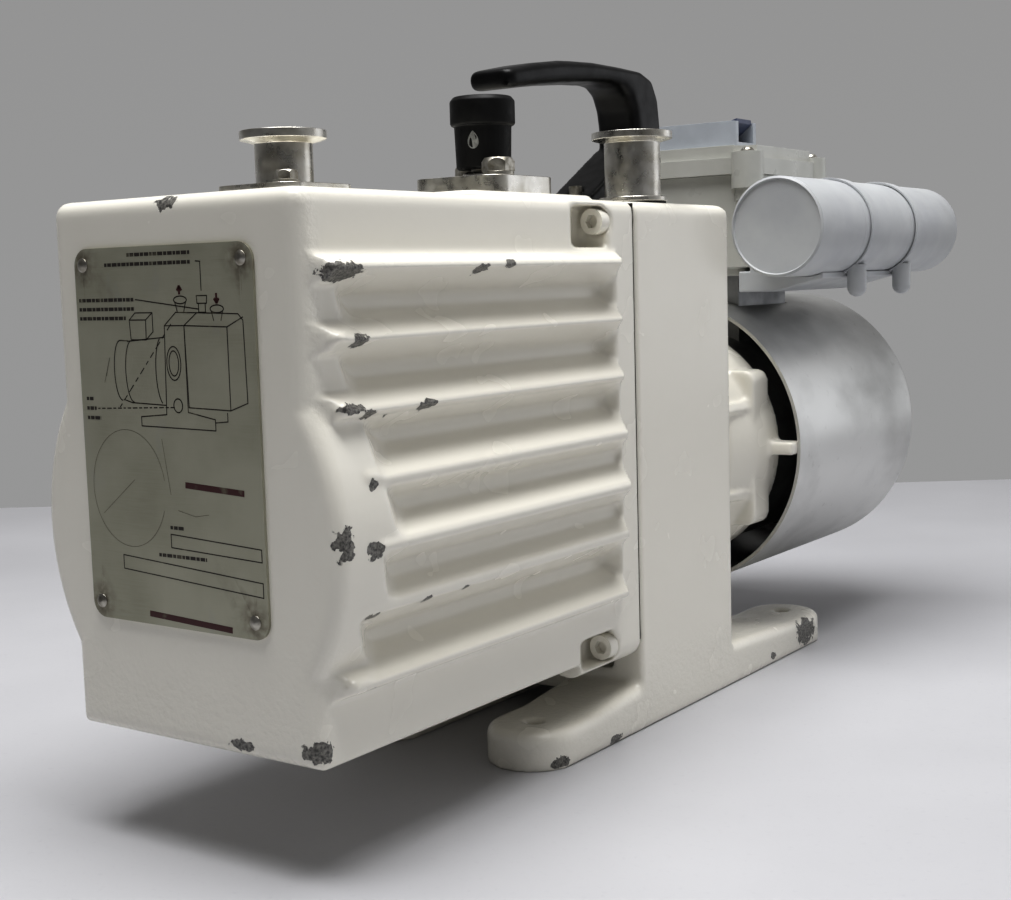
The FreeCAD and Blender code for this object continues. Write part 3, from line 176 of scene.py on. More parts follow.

# %% [markdown]
# ## Cream enamel over a rough casting
# The casing, the stand and the bell are sand or die castings, stoved with cream gloss enamel. Thick
# enamel pulls into a fine orange peel, so reflections wobble a little. Where the casting underneath
# is rough, low on the front and along its corner, the pits print through the paint.
#
# Wear is what makes it believable. Chips show the dark casting inside a paler broken rim, and
# years of oily dust stay along the joint; the inner corners are darkened with painted shade. The
# chips come from a number stored on each vertex, the distance to the nearest chip; the shader adds
# noise to that number before it cuts, so each chip gets a ragged outline at any zoom.

# %% Enamel material
MATERIALS = {}


def cream_enamel():
    material, tree, shader, place = start("cream_enamel_stoved_over_casting")
    clouds = patches(tree, place, 90, 0, (0.35, 0.7))
    fine_dirt = patches(tree, place, 5, 3, (0.6, 1.0), (0, 0.10))
    # Painted shade: the enamel's colour is darkened in the inner corners, where the walls around them would
    # cast shadow.
    painted_corner_shade = stored(tree, "hollow", (0.15, 1.0), 0.55)
    grime = broken(tree, "seam", patches(tree, place, 12, 4, (0.3, 0.65), stretch=(1, 1, 0.5)))
    rust = broken(tree, "stain", patches(tree, place, 2.5, 5, (0.35, 0.6)))

    # With the ragged noise added, a chip is bare below about 0.95 and has a pale rim to about 1.05. It is
    # sunk into the paint, so the depth of its relief is negative.
    chip = add(tree, "ShaderNodeAttribute", {"attribute_name": "chip"}).outputs["Fac"]
    edge = add(tree, "ShaderNodeMath", {"operation": "MULTIPLY_ADD", 1: 0.9},
               {0: patches(tree, place, 2.6, 6), 2: chip}).outputs["Value"]
    bare = add(tree, "ShaderNodeValToRGB", None, {"Fac": edge},
               [(0.93, grey(1)), (0.96, grey(0))]).outputs["Color"]
    rim = add(tree, "ShaderNodeValToRGB", None, {"Fac": edge},
              [(1.0, grey(1)), (1.08, grey(0))]).outputs["Color"]
    metal = coats(tree, "#454442", (patches(tree, place, 0.9, 5, (0.35, 0.65)), "#8d8b85"))

    colour = coats(tree, "#cbcbc8", (clouds, "#c4c4c1"), (fine_dirt, "#949283"), (painted_corner_shade, "#86837a"),
                   (grime, "#a3925f"), (rust, "#9c5a36"), (rim, "#efece2"), (bare, metal))
    gloss = coats(tree, patches(tree, place, 25, 2, (0.3, 0.75), (0.20, 0.30)), (bare, "#b0b0b0"))
    peel = patches(tree, place, 4.0, 2)
    rough = add(tree, "ShaderNodeAttribute", {"attribute_name": "rough"}).outputs["Fac"]
    pits = coats(tree, "#808080", (rough, patches(tree, place, 2.2, 5)))
    dress(tree, shader, colour, gloss, relief=[(peel, 0.05, 0.6), (pits, 0.5, 0.8), (bare, -0.25, 1.0)])
    shader.inputs["IOR"].default_value = 1.5
    return material


MATERIALS["cream_enamel"] = cream_enamel()
print("enamel:", len(MATERIALS["cream_enamel"].node_tree.nodes), "nodes")

# %% [markdown]
# ## Metals
# Bare metal has no paint colour of its own: its colour is the tint of its reflections, so metallic
# is 1 and the finish is all in the roughness and in the tool marks. Turned parts carry fine rings
# square to the axis they were turned about; here the rings are drawn about 0.5 mm apart, coarser
# than a real lathe leaves them, because finer ones would not show. A spun cowl is smoother, with
# faint rings along it and the smudges of hands.

# %% Turned and plated steel
def turned_steel():
    material, tree, shader, place = start("steel_turned_bright")
    rings = patches(tree, place, 0.5, 2, stretch=(0.02, 0.02, 1))
    tint = coats(tree, "#dcdad4", (patches(tree, place, 8, 5, (0.4, 0.7)), "#b9b5aa"))
    worn = patches(tree, place, 5, 4, (0.3, 0.7), (0.22, 0.40))
    dress(tree, shader, tint, worn, 1.0, [(rings, 0.04, 0.7)])
    return material


def plated_steel():
    """Zinc plate that has dulled and darkened in spots, as on old screws and nuts."""
    material, tree, shader, place = start("steel_zinc_plated")
    tint = coats(tree, "#b9b6ae", (patches(tree, place, 3, 5, (0.4, 0.7)), "#7e796d"))
    dulled = patches(tree, place, 1.5, 3, (0.3, 0.7), (0.3, 0.5))
    dress(tree, shader, tint, dulled, 1.0, [(patches(tree, place, 0.8, 3), 0.03, 1.0)])
    return material


MATERIALS["turned_steel"] = turned_steel()
MATERIALS["plated_steel"] = plated_steel()
print("steels:", [MATERIALS[slot_name].name for slot_name in ("turned_steel", "plated_steel")])


# %% Spun aluminium and the plate's brushed aluminium
def spun_aluminium():
    material, tree, shader, place = start("aluminium_spun_satin")
    hand_marks = {"stretch": (1, 0.6, 1)}
    smudge = patches(tree, place, 45, 6, (0.4, 0.68), **hand_marks)
    spots = patches(tree, place, 6, 5, (0.66, 0.8), (0, 0.3))
    tint = coats(tree, "#d9d9d7", (smudge, "#b9b9b7"), (spots, "#77746d"))
    greasy = patches(tree, place, 45, 6, (0.3, 0.7), (0.34, 0.5), **hand_marks)
    rings = patches(tree, place, 1.2, 2, stretch=(0.02, 1, 0.02))
    dress(tree, shader, tint, greasy, 1.0, [(rings, 0.04, 0.5)])
    return material


def printed_plate():
    """Brushed aluminium gone olive with age, with rust marks at its rivets and pale wiped streaks."""
    material, tree, shader, place = start("aluminium_brushed_aged")
    brushing = {"size": 0.5, "detail": 2, "stretch": (0.04, 1, 1)}
    aged = patches(tree, place, 30, 5, (0.35, 0.7))
    bright = patches(tree, place, span=(0.35, 0.7), ends=(0, 0.35), **brushing)
    wiped = patches(tree, place, 16, 4, (0.62, 0.78), (0, 0.5), (1, 1, 0.45))
    rust = broken(tree, "stain", patches(tree, place, 3, 5, (0.3, 0.6)))
    base = coats(tree, "#b0af9e", (aged, "#9d9c8a"), (bright, "#b3b2a2"), (wiped, "#a2a3a6"),
                 (rust, "#4e3a26"))
    satin = patches(tree, place, span=(0.3, 0.7), ends=(0.36, 0.52), **brushing)
    dress(tree, shader, base, satin, 0.35, [(patches(tree, place, **brushing), 0.02, 0.5)])
    return material


MATERIALS["cowl_aluminium"] = spun_aluminium()
MATERIALS["printed_aluminium"] = printed_plate()
print("aluminiums:", [MATERIALS[slot_name].name for slot_name in ("cowl_aluminium", "printed_aluminium")])

# %% [markdown]
# ## Everything else from one recipe
# The plastics, rubber, glass and the plain metals inside differ only in colour, gloss and grain, so
# one recipe with a table serves them all. Each entry gives two close colours that a noise mixes, how
# metallic it is, its roughness, the size of its grain and how deep that grain is.

# %% Simple materials
SIMPLE = {
    # slot: material name, two colours, metallic, roughness, grain mm, grain depth mm
    "black_knob_plastic": ("phenolic_moulded_matte", "#0a0a0a", "#101010", 0, 0.50, 0.9, 0.03),
    "black_handle_plastic": ("nylon_moulded_satin", "#0a0a0a", "#101011", 0, 0.34, 1.2, 0.03),
    "box_enamel": ("enamel_off_white_on_die_casting", "#c6c6c1", "#bbbbb5", 0, 0.30, 2.5, 0.03),
    "capacitor_plastic": ("polypropylene_moulded_satin", "#c6c8c9", "#bbbdc0", 0, 0.38, 2.0, 0.02),
    "switch_plastic": ("abs_moulded_blue_grey", "#bcc1c8", "#b1b6bd", 0, 0.35, 1.2, 0.02),
    "rocker_plastic": ("abs_moulded_dark_blue", "#4c546c", "#3f465c", 0, 0.32, 1.2, 0.02),
    "black_plastic": ("nylon_moulded_black", "#1b1b1b", "#262626", 0, 0.45, 0.9, 0.03),
    "seal_rubber": ("nitrile_rubber_moulded", "#1a1917", "#2a2823", 0, 0.65, 0.8, 0.04),
    "grey_cast_iron": ("iron_machined_oiled", "#6c6b68", "#55534f", 1, 0.38, 1.0, 0.05),
    "ground_steel": ("steel_ground", "#b8b8b6", "#a5a5a3", 1, 0.22, 0.6, 0.01),
    "bronze": ("bronze_sintered", "#b08a55", "#8d6c42", 1, 0.42, 0.5, 0.03),
    "vane_composite": ("laminate_machined", "#4d3524", "#3a281b", 0, 0.5, 0.8, 0.03),
    "cast_aluminium": ("aluminium_as_cast", "#a2a3a4", "#8a8b8c", 1, 0.50, 1.4, 0.08),
    "electrical_steel": ("steel_laminated_stack", "#5b5d60", "#45474a", 1, 0.45, 0.5, 0.05),
    "copper_winding": ("copper_enamelled_wire", "#a8582c", "#7d3d1d", 1, 0.35, 0.7, 0.10),
    "filter_felt": ("glass_fibre_felt", "#b3ad9a", "#a09a87", 0, 0.85, 0.7, 0.15),
    "sight_glass": ("glass_pressed_over_oil", "#c9b06a", "#b89a4f", 0, 0.06, 6.0, 0.01),
}


DARKEST, DARK_SPECULAR = 0x20, 0.25     # below this red, plastics and rubber reflect half as much


def simple(slot_name):
    name, first, second, metallic, roughness, grain, depth = SIMPLE[slot_name]
    material, tree, shader, place = start(name)
    mottled = patches(tree, place, grain * 12, 5, (0.35, 0.68))
    sheen = patches(tree, place, grain * 5, 4, (0.3, 0.7), (roughness * 0.85, min(1.0, roughness * 1.25)))
    dress(tree, shader, coats(tree, first, (mottled, second)), sheen, metallic,
          [(patches(tree, place, grain, 3), depth, 1.0)])
    if int(first[1:3], 16) < DARKEST:
        shader.inputs["Specular IOR Level"].default_value = DARK_SPECULAR
    if slot_name == "sight_glass":
        shader.inputs["Transmission Weight"].default_value = 0.6
        shader.inputs["IOR"].default_value = 1.5
    return material


for slot_name in SIMPLE:
    MATERIALS[slot_name] = simple(slot_name)
for name, node in frame["nodes"].items():
    node.data.materials.clear()
    node.data.materials.append(MATERIALS[SLOT_OF[name]])
print(len(MATERIALS), "materials on", len(frame["nodes"]), "nodes")

# %% [markdown]
# ## Softened copies of the solids
# Nothing that was cast, moulded or turned has a perfectly sharp edge, and the light along a small
# round is what tells the eye where an edge is. Most visible nodes get a copy with a bevel modifier a
# few tenths of a millimetre wide. The faces are first joined where they are flat, so that the bevel
# meets true edges and not the triangles they were cut into.

# %% Copies with bevelled edges
def copy_of(name):
    """A free copy of a CAD node with its mesh in the row frame."""
    source = frame["nodes"][name]
    mesh = source.data.copy()
    mesh.transform(source.matrix_world)
    piece = bpy.data.objects.new(name + "_finished", mesh)
    scene.collection.objects.link(piece)
    return piece


def declare(piece, name):
    """The piece takes the place of a CAD node: the node is hidden, and the piece gets its body and its
    material.
    """
    if not piece.data.materials:
        piece.data.materials.append(MATERIALS[SLOT_OF[name]])
    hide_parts(name)
    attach(piece, BODY_OF.get(name, "root"))


WELD, FLAT, SHARP = 0.002 * MM, math.radians(0.8), math.radians(32)


def softened(name, width):
    """A copy whose edges are rounded by width millimetres."""
    piece = copy_of(name)
    edit = bmesh.new()
    edit.from_mesh(piece.data)
    bmesh.ops.remove_doubles(edit, verts=edit.verts, dist=WELD)
    bmesh.ops.dissolve_limit(edit, angle_limit=FLAT, verts=edit.verts, edges=edit.edges)
    edit.to_mesh(piece.data)
    edit.free()
    piece.data.shade_smooth()
    piece.data.set_sharp_from_angle(angle=SHARP)
    bevel = piece.modifiers.new("edge", "BEVEL")
    bevel.width = width * MM
    bevel.segments = 3
    bevel.limit_method = "ANGLE"
    bevel.angle_limit = SHARP
    bevel.harden_normals = True
    declare(piece, name)
    return piece


EDGES = {
    "nameplate_rivets": 0.2, "casing_screws": 0.35, "sight_glass_ring": 0.4, "oil_plugs": 0.3,
    "intake_port": 0.35, "exhaust_port": 0.35, "ballast_flange": 0.5, "port_washers": 0.15,
    "port_bolts": 0.25, "ballast_knob": 0.5, "terminal_box": 0.8,
    "terminal_box_lid": 0.8, "switch_housing": 0.7, "switch_rocker": 0.4, "cable_gland": 0.4,
    "start_capacitor": 0.35, "capacitor_saddle": 0.8, "capacitor_straps": 0.4, "cover_screws": 0.2,
    "fan_cowl": 0.35, "cooling_fan": 0.4, "rear_end_shield": 0.5,
}
finished = {name: softened(name, width) for name, width in EDGES.items()}
print(len(finished), "nodes with softened edges")

# %% [markdown]
# ## Castings and the handle, as if poured
# A bevel along the curved, crossing edges of a ribbed casting would fail, and so would one on the
# moulded handle. These four nodes are treated differently: they are remeshed into cells of about a
# millimetre and relaxed, which rounds every corner, inside and out, like the fillets of a casting.
# More passes make rounder corners, so the smooth handle gets the most.

# %% Remeshed copies
CELL = 1.1      # mm


def poured(name, cell, passes):
    """A copy remeshed into cells of cell millimetres and relaxed, with cast fillets everywhere."""
    piece = copy_of(name)
    skin = piece.modifiers.new("skin", "REMESH")
    skin.mode = "VOXEL"
    skin.voxel_size = cell * MM
    skin.use_smooth_shade = True
    relax = piece.modifiers.new("relax", "SMOOTH")
    relax.factor = 0.5
    relax.iterations = passes
    ready = piece.evaluated_get(bpy.context.evaluated_depsgraph_get())
    mesh = bpy.data.meshes.new_from_object(ready)
    piece.modifiers.clear()
    piece.data = mesh
    mesh.materials.clear()
    mesh.shade_smooth()
    declare(piece, name)
    print(name, len(mesh.polygons), "faces")
    return piece


for name, passes in (("oil_casing", 3), ("pump_stand", 5), ("front_end_shield", 4), ("carry_handle", 8)):
    finished[name] = poured(name, CELL, passes)

# %% [markdown]
# ## Wear and painted shade on the castings
# The chips sit where such a pump gets knocked: on the crests of the ribs near the front corner and
# along the feet, where it is dragged over a bench. Each is listed with its place and its half sizes
# in millimetres. Rust has run at a few screws. Painted shade darkens the enamel wherever a surface
# lies lower than its neighbours, which the mesh itself can tell: there the vertices around a point
# stand above it.

# %% Where the chips and the rust are
CHIPS = [
    # x, y, z of the middle, then half sizes along y and z
    (62, -244, 191, 8.0, 3.2), (64, -173, 191, 3.6, 2.0), (64, -157, 193, 2.6, 1.4),
    (64, -237, 170, 3.6, 2.6), (64, -243, 150, 5.0, 1.6), (64, -235, 147, 3.0, 1.8),
    (64, -224, 146, 1.2, 1.0), (64, -206, 148, 3.6, 2.0), (67, -238, 126, 2.0, 1.6),
    (69, -241, 106, 3.4, 2.8), (66, -238, 84, 3.0, 1.6), (67, -211, 85, 2.2, 1.2), (67, -190, 85, 1.8, 1.0),
    (64, -238, 60, 2.8, 1.6), (66, -253, 110, 3.0, 5.0), (54, -254, 44, 4.0, 3.4),
    (23, -256, 42, 2.4, 2.0), (54, -133, 8, 3.0, 2.2), (55, -120, 3, 4.0, 2.0), (56, -81, 2, 4.0, 1.8),
    (56, 65, 4, 2.4, 1.6), (56, 102, 8, 9.0, 6.0), (46, 60, 118, 3.0, 2.0), (-64, -236, 170, 4.0, 2.0),
    (-64, -120, 150, 3.0, 1.8), (-67, -180, 106, 3.0, 2.0), (-50, 119, 8, 4.0, 3.0), (0, -254, 214, 3.5, 2.5),
]
STAINS = [(64, -150, 193, 7.0), (40, 50, 140, 6.0), (50, -88, 200, 5.0)]
print(len(CHIPS), "chips and", len(STAINS), "rust stains")


# %% Inner corners
def hollows(mesh, place):
    """How far each vertex lies below its neighbours: 0 on flats and ridges, up to 1 in inner corners."""
    count = len(place)
    pairs = np.empty(len(mesh.edges) * 2, np.int32)
    mesh.edges.foreach_get("vertices", pairs)
    first, second = pairs.reshape(-1, 2).T
    normal = np.empty(count * 3, np.float32)
    mesh.vertices.foreach_get("normal", normal)
    normal = normal.reshape(count, 3)
    near = np.maximum(1, np.bincount(first, minlength=count) + np.bincount(second, minlength=count))

    def average(values):
        total = np.bincount(first, values[second], count) + np.bincount(second, values[first], count)
        return total / near

    rise = sum((average(place[:, axis]) - place[:, axis]) * normal[:, axis] for axis in range(3))
    depth = np.clip(rise / (0.05 * MM), 0, 1)
    for _ in range(4):
        depth = 0.3 * depth + 0.7 * average(depth)
    return np.clip(depth * 1.6, 0, 1)


# %% Storing the wear on the vertices
def weather(piece, seam_planes):
    """Stores the chip, seam, stain, rough and hollow values of every vertex; the hollow becomes painted
    shade.
    """
    mesh = piece.data
    count = len(mesh.vertices)
    place = np.empty(count * 3, np.float32)
    mesh.vertices.foreach_get("co", place)
    place = place.reshape(count, 3)
    hollow = hollows(mesh, place)
    x, y, z = (place / MM).T
    chip = np.full(count, 9.0, np.float32)
    for cx, cy, cz, half_y, half_z in CHIPS:
        along = np.hypot((y - cy) / half_y, (z - cz) / half_z)
        chip = np.minimum(chip, np.hypot(along, (x - cx) / 5.0) * 0.45)
    seam = np.zeros(count, np.float32)
    for plane_y in seam_planes:
        seam = np.maximum(seam, np.clip(1 - np.abs(y - plane_y) / 1.6, 0, 1))
    stain = np.zeros(count, np.float32)
    for sx, sy, sz, reach in STAINS:
        away = np.sqrt((x - sx) ** 2 + (y - sy) ** 2 + (z - sz) ** 2)
        stain = np.maximum(stain, np.clip(1 - away / reach, 0, 1))
    low_front = np.clip((90 - z) / 50, 0, 1) * np.clip((-245 - y) / 8, 0, 1)
    corner = np.clip(1 - np.hypot(np.abs(x) - 57, y + 252) / 6, 0, 1)
    under = np.clip((36 - z) / 10, 0, 1) * 0.5
    rough = np.clip(np.maximum.reduce([low_front, corner, under]) + 0.03, 0, 1)
    for name, values in (("chip", chip), ("seam", seam), ("stain", stain), ("rough", rough),
                         ("hollow", hollow)):
        mesh.attributes.new(name, "FLOAT", "POINT").data.foreach_set("value", values.astype(np.float32))
    print(piece.name, "chipped vertices:", int((chip < 0.5).sum()))


CASING_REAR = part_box("oil_casing")[1][1] / MM
GASKET = 1          # mm of gasket between the casing and the stand
SHIELD_SEAM = 23    # mm, where the stand meets the motor's front end shield
finished["frame_screws"] = softened("frame_screws", 0.3)
for name in ("casing_screws", "frame_screws", "rear_end_shield"):
    weather(finished[name], [])
weather(finished["oil_casing"], [CASING_REAR])
weather(finished["pump_stand"], [CASING_REAR + GASKET])
weather(finished["front_end_shield"], [SHIELD_SEAM])

# %% [markdown]
# ## The name plate
# On the real pump the plate carries a maker's print. Here it is replaced by a plain outline of such
# a pump, leader lines, empty fields and rows of dashes in place of words. Print is ink with almost
# no height, so each stroke is a flat ribbon a few hundredths of a millimetre above the plate. Drawing
# it as geometry keeps its edges crisp at any distance.

# %% The plate, with rust around its rivets
PLATE_X, PLATE_Y, _ = (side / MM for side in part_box("nameplate")[0])     # its left edge and its face
PLATE_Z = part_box("nameplate")[1][2] / MM     # its top edge
INK = 0.04      # mm that the print stands off the plate
plate = copy_of("nameplate")
cuts = bmesh.new()
cuts.from_mesh(plate.data)
for _ in range(2):
    bmesh.ops.triangulate(cuts, faces=cuts.faces)
    bmesh.ops.subdivide_edges(cuts, edges=[e for e in cuts.edges if e.calc_length() > 4 * MM], cuts=3)
cuts.to_mesh(plate.data)
cuts.free()
RIVETS = [(-39.3, 196.2), (33.6, 196.6), (-39.1, 83.2), (32.8, 83.2)]
rust = plate.data.attributes.new("stain", "FLOAT", "POINT")
for vertex, value in zip(plate.data.vertices, rust.data):
    nearest = min(math.hypot(vertex.co.x / MM - rx, vertex.co.z / MM - rz) for rx, rz in RIVETS)
    value.value = max(0.0, 1 - nearest / 7.5)
declare(plate, "nameplate")
print("plate:", len(plate.data.vertices), "vertices")


# %% Ink and strokes
def ink(name, colour):
    """Screen ink that has worn through to the plate's own colour in spots."""
    material, tree, shader, place = start(name)
    worn = patches(tree, place, 5, 6, (0.6, 0.75))
    dress(tree, shader, coats(tree, colour, (worn, "#6e6a58")), 0.5)
    return material


def strokes(name, lines, width, material):
    """Flat ribbons on the plate along each line of (across, down) points, in millimetres."""
    edit = bmesh.new()
    level = PLATE_Y - INK
    for line in lines:
        for (a, b), (c, d) in zip(line, line[1:]):
            along = Vector((c - a, 0, b - d))
            if along.length < 1e-6:
                continue
            along.normalize()
            side = Vector((along.z, 0, -along.x)) * (width / 2)
            reach = along * min(width * 0.3, 0.1)
            near = Vector((PLATE_X + a, level, PLATE_Z - b)) - reach
            far = Vector((PLATE_X + c, level, PLATE_Z - d)) + reach
            corners = [near + side, near - side, far - side, far + side]
            edit.faces.new([edit.verts.new(p * MM) for p in corners])
    mesh = bpy.data.meshes.new(name)
    edit.to_mesh(mesh)
    edit.free()
    mesh.materials.append(material)
    piece = bpy.data.objects.new(name, mesh)
    scene.collection.objects.link(piece)
    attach(piece, "root")
    print(name, len(mesh.polygons), "strokes")


def oval(cx, cy, rx, ry, first=0, last=360, steps=28):
    """Points along an ellipse from one angle to another, in degrees."""
    turns = [math.radians(first + (last - first) * k / steps) for k in range(steps + 1)]
    return [(cx + rx * math.cos(t), cy + ry * math.sin(t)) for t in turns]


def dashes(x0, x1, down, dash=1.7, gap=0.55, y1=None):
    """A row of short dashes of uneven length that stands for a row of print."""
    row, x, k = [], x0, 0
    slope = 0 if y1 is None else (y1 - down) / (x1 - x0)
    while x < x1:
        length = dash * (0.6 + 0.7 * ((k * 7) % 5) / 4)
        end = min(x + length, x1)
        row.append([(x, down + slope * (x - x0)), (end, down + slope * (end - x0))])
        x, k = end + gap, k + 1
    return row


print("an oval has", len(oval(0, 0, 1, 1)), "points")

# %% The outline drawing, in mm across and down from the corner of the plate
drawing = [
    # oil casing: front face, side and top
    [(51, 25.5), (70, 26), (70, 52), (51.5, 51.5), (51, 25.5), (57, 21.5), (75, 22), (77, 24), (77.5, 49.5),
     (70, 52)],
    [(70, 26), (77, 23)],
    # stand and feet
    [(51, 51.5), (51, 25.5), (42, 25.5), (41, 54), (29, 55), (29, 58), (63, 58.5), (63, 55), (51, 53),
     (51, 51.5)],
    [(42, 25.5), (47.5, 21.3), (57, 21.5)],
    [(63, 56), (68.5, 55.5), (68.5, 52.8)],
    oval(45.5, 37.5, 3.2, 5.4), oval(45.5, 37.5, 2.2, 4.0), oval(46.5, 51, 2.0, 2.2),
    # motor and its terminal box
    [(24, 30.5), (41.5, 29.2)], [(21, 49.5), (25, 50.5), (41, 51)],
    oval(20.5, 40, 3.4, 9.8, 90, 270), [(20.5, 30.2), (24.5, 30.3)],
    oval(26, 40.3, 3.4, 10, 90, 270), oval(40.6, 40, 3.6, 11, 110, 250),
    [(26, 29.6), (25.6, 23.6), (28.5, 21.3), (36.6, 21.3), (36.6, 27.4), (33.2, 30), (26.4, 30), (26, 29.6)],
    [(25.6, 23.6), (33.4, 23.6), (36.6, 21.3)], [(33.4, 23.6), (33.2, 30)],
    # ports and knob
    oval(49.8, 17.4, 2.9, 1.2), [(47.4, 18.2), (48.4, 21.4)], [(52.2, 18.2), (51.2, 21.4)],
    [(57.2, 16.2), (61.8, 16.2), (61.6, 18.6), (57.4, 18.6), (57.2, 16.2)],
    [(58, 18.6), (58, 21.4), (61, 21.4), (61, 18.6)],
    oval(66, 20.4, 2.9, 1.2), [(63.6, 21.2), (64.4, 24)], [(68.4, 21.2), (67.6, 24)],
    # leader lines
    [(57.5, 5.4), (59.5, 5.6), (59.5, 14.6)], [(29, 17), (58, 20.4)],
    # two empty fields
    [(40, 93), (80.4, 95), (80.4, 99), (40, 97.4), (40, 93)],
    [(16.5, 101.6), (80.4, 105.6), (80.4, 110.2), (16.5, 106.2), (16.5, 101.6)],
]
drawing += dashes(8, 45, 52.8, 1.6, 1.0, 51.6) + dashes(19, 46, 52, 1.6, 1.2, 24)
print(len(drawing), "lines in the drawing")

# %% Rows of dashes, arrows and bars
label_rows = []
for x0, x1, down in ((26, 55, 2.6), (15, 55, 5.6), (1.5, 28, 17), (1.5, 28, 20), (1.5, 24, 23),
                     (2.5, 6, 49.6), (2.5, 7, 52.8), (2.5, 9, 56), (40, 46, 90.8), (34, 56, 100.2)):
    label_rows += dashes(x0, x1, down)
arrows = [[(49.6, 15.6), (49.6, 13.6)], [(66, 15.6), (66, 17.8)]]
dark_ink, red_ink = ink("ink_black_screen_printed", "#2c2620"), ink("ink_maroon_screen_printed", "#43191a")
strokes("print_outline", drawing, 0.38, dark_ink)
strokes("print_label_rows", label_rows, 1.15, dark_ink)
arrows += [[(48.6, 14.4), (49.6, 13.0), (50.6, 14.4)], [(65, 17.2), (66, 18.6), (67, 17.2)]]
strokes("print_arrows", arrows, 0.9, red_ink)
strokes("print_maroon_bars", [[(48, 76.5), (74, 77.8)], [(28, 120.4), (66, 122)]], 2.0, red_ink)

# %% Scuffs, where something rubbed a ring and a few lines into the plate
scratch, tree, shader, place = start("aluminium_scratched")
dress(tree, shader, coats(tree, "#7a776a", (patches(tree, place, 2, 4, (0.35, 0.65)), "#5f5c4e")), 0.4, 0.6)
strokes("plate_scuffs", [oval(21, 79, 17.5, 19.5, 20, 350, 60), [(8, 88), (24, 76)], [(38, 62), (41, 80)],
                         [(12, 44), (15, 36), (13, 42)], [(44, 85), (52, 86.5), (58, 85.5)]], 0.16, scratch)

# %% [markdown]
# ## The mark on the ballast knob
# A quarter turn of the knob opens or shuts the gas ballast, and a pale drop moulded into its side
# shows which. It is a thin patch that follows the knob's cone and turns with it.

# %% Knob mark
mark_ink, tree, shader, place = start("paint_pale_grey_in_moulding")
dress(tree, shader, coats(tree, "#9a9b98", (patches(tree, place, 2, 4, (0.4, 0.6)), "#7c7d7a")), 0.5)
knob_low, knob_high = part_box("ballast_knob")
KNOB_X, KNOB_Y, _ = ((a + b) / 2 / MM for a, b in zip(knob_low, knob_high))
KNOB_LOW, KNOB_TALL = knob_low[2] / MM + 0.7, 15.8     # mm, where its cone starts and how tall it is
KNOB_RADIUS, KNOB_FLARE, FACING = 10.7, 0.5, math.radians(-75)
MARK_HEIGHT, MARK_UP, MARK_HALF = 240.5, 4.2, 2.3
LIFT = 0.05     # mm that the patch stands off the knob
edit = bmesh.new()
rim = []
for k in range(32):
    t = 2 * math.pi * k / 32
    pointed = math.cos(t) > 0       # the upper half narrows to the tip of the drop
    across = MARK_HALF * math.sin(t) * (1 - 0.6 * math.cos(t) ** 2 if pointed else 1)
    height = MARK_HEIGHT + MARK_UP * math.cos(t) * (1.0 if pointed else 0.62)
    reach = KNOB_RADIUS + KNOB_FLARE * (height - KNOB_LOW) / KNOB_TALL + LIFT
    turn = FACING + across / reach
    point = Vector((KNOB_X + reach * math.cos(turn), KNOB_Y + reach * math.sin(turn), height))
    rim.append(edit.verts.new(point * MM))
edit.faces.new(rim)
mesh = bpy.data.meshes.new("knob_mark")
edit.to_mesh(mesh)
edit.free()
mesh.materials.append(mark_ink)
knob_mark = bpy.data.objects.new("knob_mark", mesh)
scene.collection.objects.link(knob_mark)
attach(knob_mark, "ballast_valve")
print("knob mark:", round(2 * MARK_HALF, 1), "mm wide on", len(rim), "points")

# %% [markdown]
# ## The table
# The pump stands on a pale laminate top that ends behind it, with the grey of the room beyond, so the
# castings have something to reflect without competing. Only the top is seen, and it runs on past the picture.

# %% Table
top, tree, shader, place = start("laminate_pale_grey")
clouded = patches(tree, place, 220, 4, (0.3, 0.7))
specks = patches(tree, place, 3, 4, (0.6, 0.8), (0, 0.15))
dress(tree, shader, coats(tree, "#c3c3c6", (clouded, "#b9b9bc"), (specks, "#96949c")), 0.5,
      relief=[(patches(tree, place, 2, 3), 0.02, 1.0)])
AWAY, ACROSS = Vector((-0.579, 0.815, 0)), Vector((0.815, 0.579, 0))    # from the camera, and to its right
BEHIND, IN_FRONT, HALF_WIDE, THICK = 0.63, 3, 3, 0.03    # metres
upper = [AWAY * BEHIND - ACROSS * HALF_WIDE, AWAY * BEHIND + ACROSS * HALF_WIDE,
         AWAY * -IN_FRONT + ACROSS * HALF_WIDE, AWAY * -IN_FRONT - ACROSS * HALF_WIDE]
lower = [corner - Vector((0, 0, THICK)) for corner in upper]
mesh = bpy.data.meshes.new("table_top")
mesh.from_pydata([tuple(corner) for corner in upper + lower], [],
                 [(3, 2, 1, 0), (4, 5, 6, 7), (0, 1, 5, 4), (1, 2, 6, 5), (2, 3, 7, 6), (3, 0, 4, 7)])
mesh.materials.append(top)
table = bpy.data.objects.new("table_top", mesh)
scene.collection.objects.link(table)
print("table:", 2 * HALF_WIDE, "by", BEHIND + IN_FRONT, "metres")

# %% [markdown]
# ## The room and its light
# The room's own grey light fills every shadow, and is made weaker from the front so that the front
# faces stay darker than the tops. A big soft box overhead makes the tops brightest and the shadow
# underneath soft, like a bright ceiling. A weak one behind and to the right picks out the cowl and
# the capacitor.

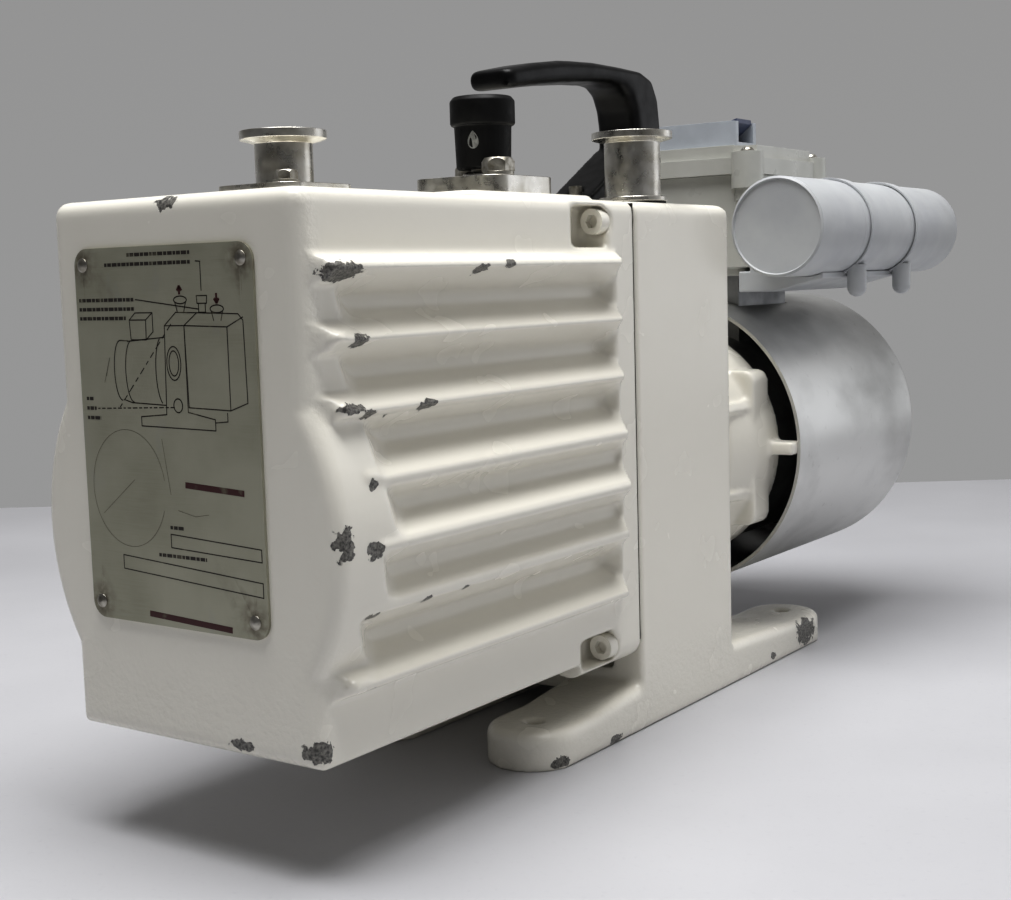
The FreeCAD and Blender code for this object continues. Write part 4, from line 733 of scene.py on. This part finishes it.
# %% World and lamps
world = bpy.data.worlds.new("room")
scene.world = world
world.use_nodes = True
tree = world.node_tree
height = add(tree, "ShaderNodeSeparateXYZ", None, {0: add(tree, "ShaderNodeTexCoord").outputs["Generated"]})
wall = add(tree, "ShaderNodeValToRGB", None, {"Fac": height.outputs["Z"]},
           [(0.0, linear("#a8a8a8")), (0.6, linear("#a3a2a2"))])
room = add(tree, "ShaderNodeMapRange", {"From Min": -0.5, "From Max": 0.35, "To Min": 0.25, "To Max": 1.0},
           {"Value": height.outputs["Y"]})
dimmed = add(tree, "ShaderNodeMix", {"data_type": "RGBA", "blend_type": "MULTIPLY", 0: 1.0},
             {6: wall.outputs["Color"], 7: room.outputs["Result"]})
tree.links.new(dimmed.outputs[2], tree.nodes["Background"].inputs["Color"])
tree.nodes["Background"].inputs["Strength"].default_value = 0.98


def soft_box(name, place, target, size, watts, colour):
    lamp = bpy.data.lights.new(name, "AREA")
    lamp.shape = "RECTANGLE"
    lamp.size, lamp.size_y = size
    lamp.energy = watts
    lamp.color = linear(colour)[:3]
    piece = bpy.data.objects.new(name, lamp)
    scene.collection.objects.link(piece)
    piece.location = place
    piece.rotation_euler = (Vector(target) - Vector(place)).to_track_quat("-Z", "Y").to_euler()


soft_box("ceiling_light", (0.1, -0.25, 1.5), (0, -0.1, 0.1), (1.1, 0.8), 32, "#ffffff")
soft_box("side_light", (0.9, 1.3, 0.45), (0.05, 0.1, 0.1), (0.9, 0.9), 2.2, "#f8faff")
print("lamps:", [(lamp.name, round(lamp.energy, 1)) for lamp in bpy.data.lights])

# %% [markdown]
# ## Camera
# The camera stands close to the front corner at a little below knob height and looks slightly down, with
# a hint of roll as in a hand-held shot. Its rotation is built from three angles, which are easier to think
# about than a matrix.

# %% Camera
def look(yaw, pitch, roll):
    """A camera rotation: heading left of +Y, tilt up, and roll, in degrees."""
    y, p, r = (math.radians(a) for a in (yaw, pitch, roll))
    forward = Vector((-math.sin(y) * math.cos(p), math.cos(y) * math.cos(p), math.sin(p)))
    right = Vector((math.cos(y), math.sin(y), 0))
    up = right.cross(forward)
    r_axis = math.cos(r) * right + math.sin(r) * up
    u_axis = -math.sin(r) * right + math.cos(r) * up
    return Matrix((r_axis, u_axis, -forward)).transposed()


camera = bpy.data.cameras.new("camera")
camera.lens, camera.sensor_width = 54.35, 36
viewer = bpy.data.objects.new("camera", camera)
scene.collection.objects.link(viewer)
viewer.matrix_world = Matrix.Translation((0.36896, -0.59407, 0.18818)) @ look(35.36, -6.43, -1.63).to_4x4()
scene.camera = viewer
scene.view_settings.view_transform = "Standard"
scene.view_settings.gamma = 0.8     # a little more contrast, as a studio print has
print("camera", [round(v, 3) for v in viewer.location], "lens", camera.lens)
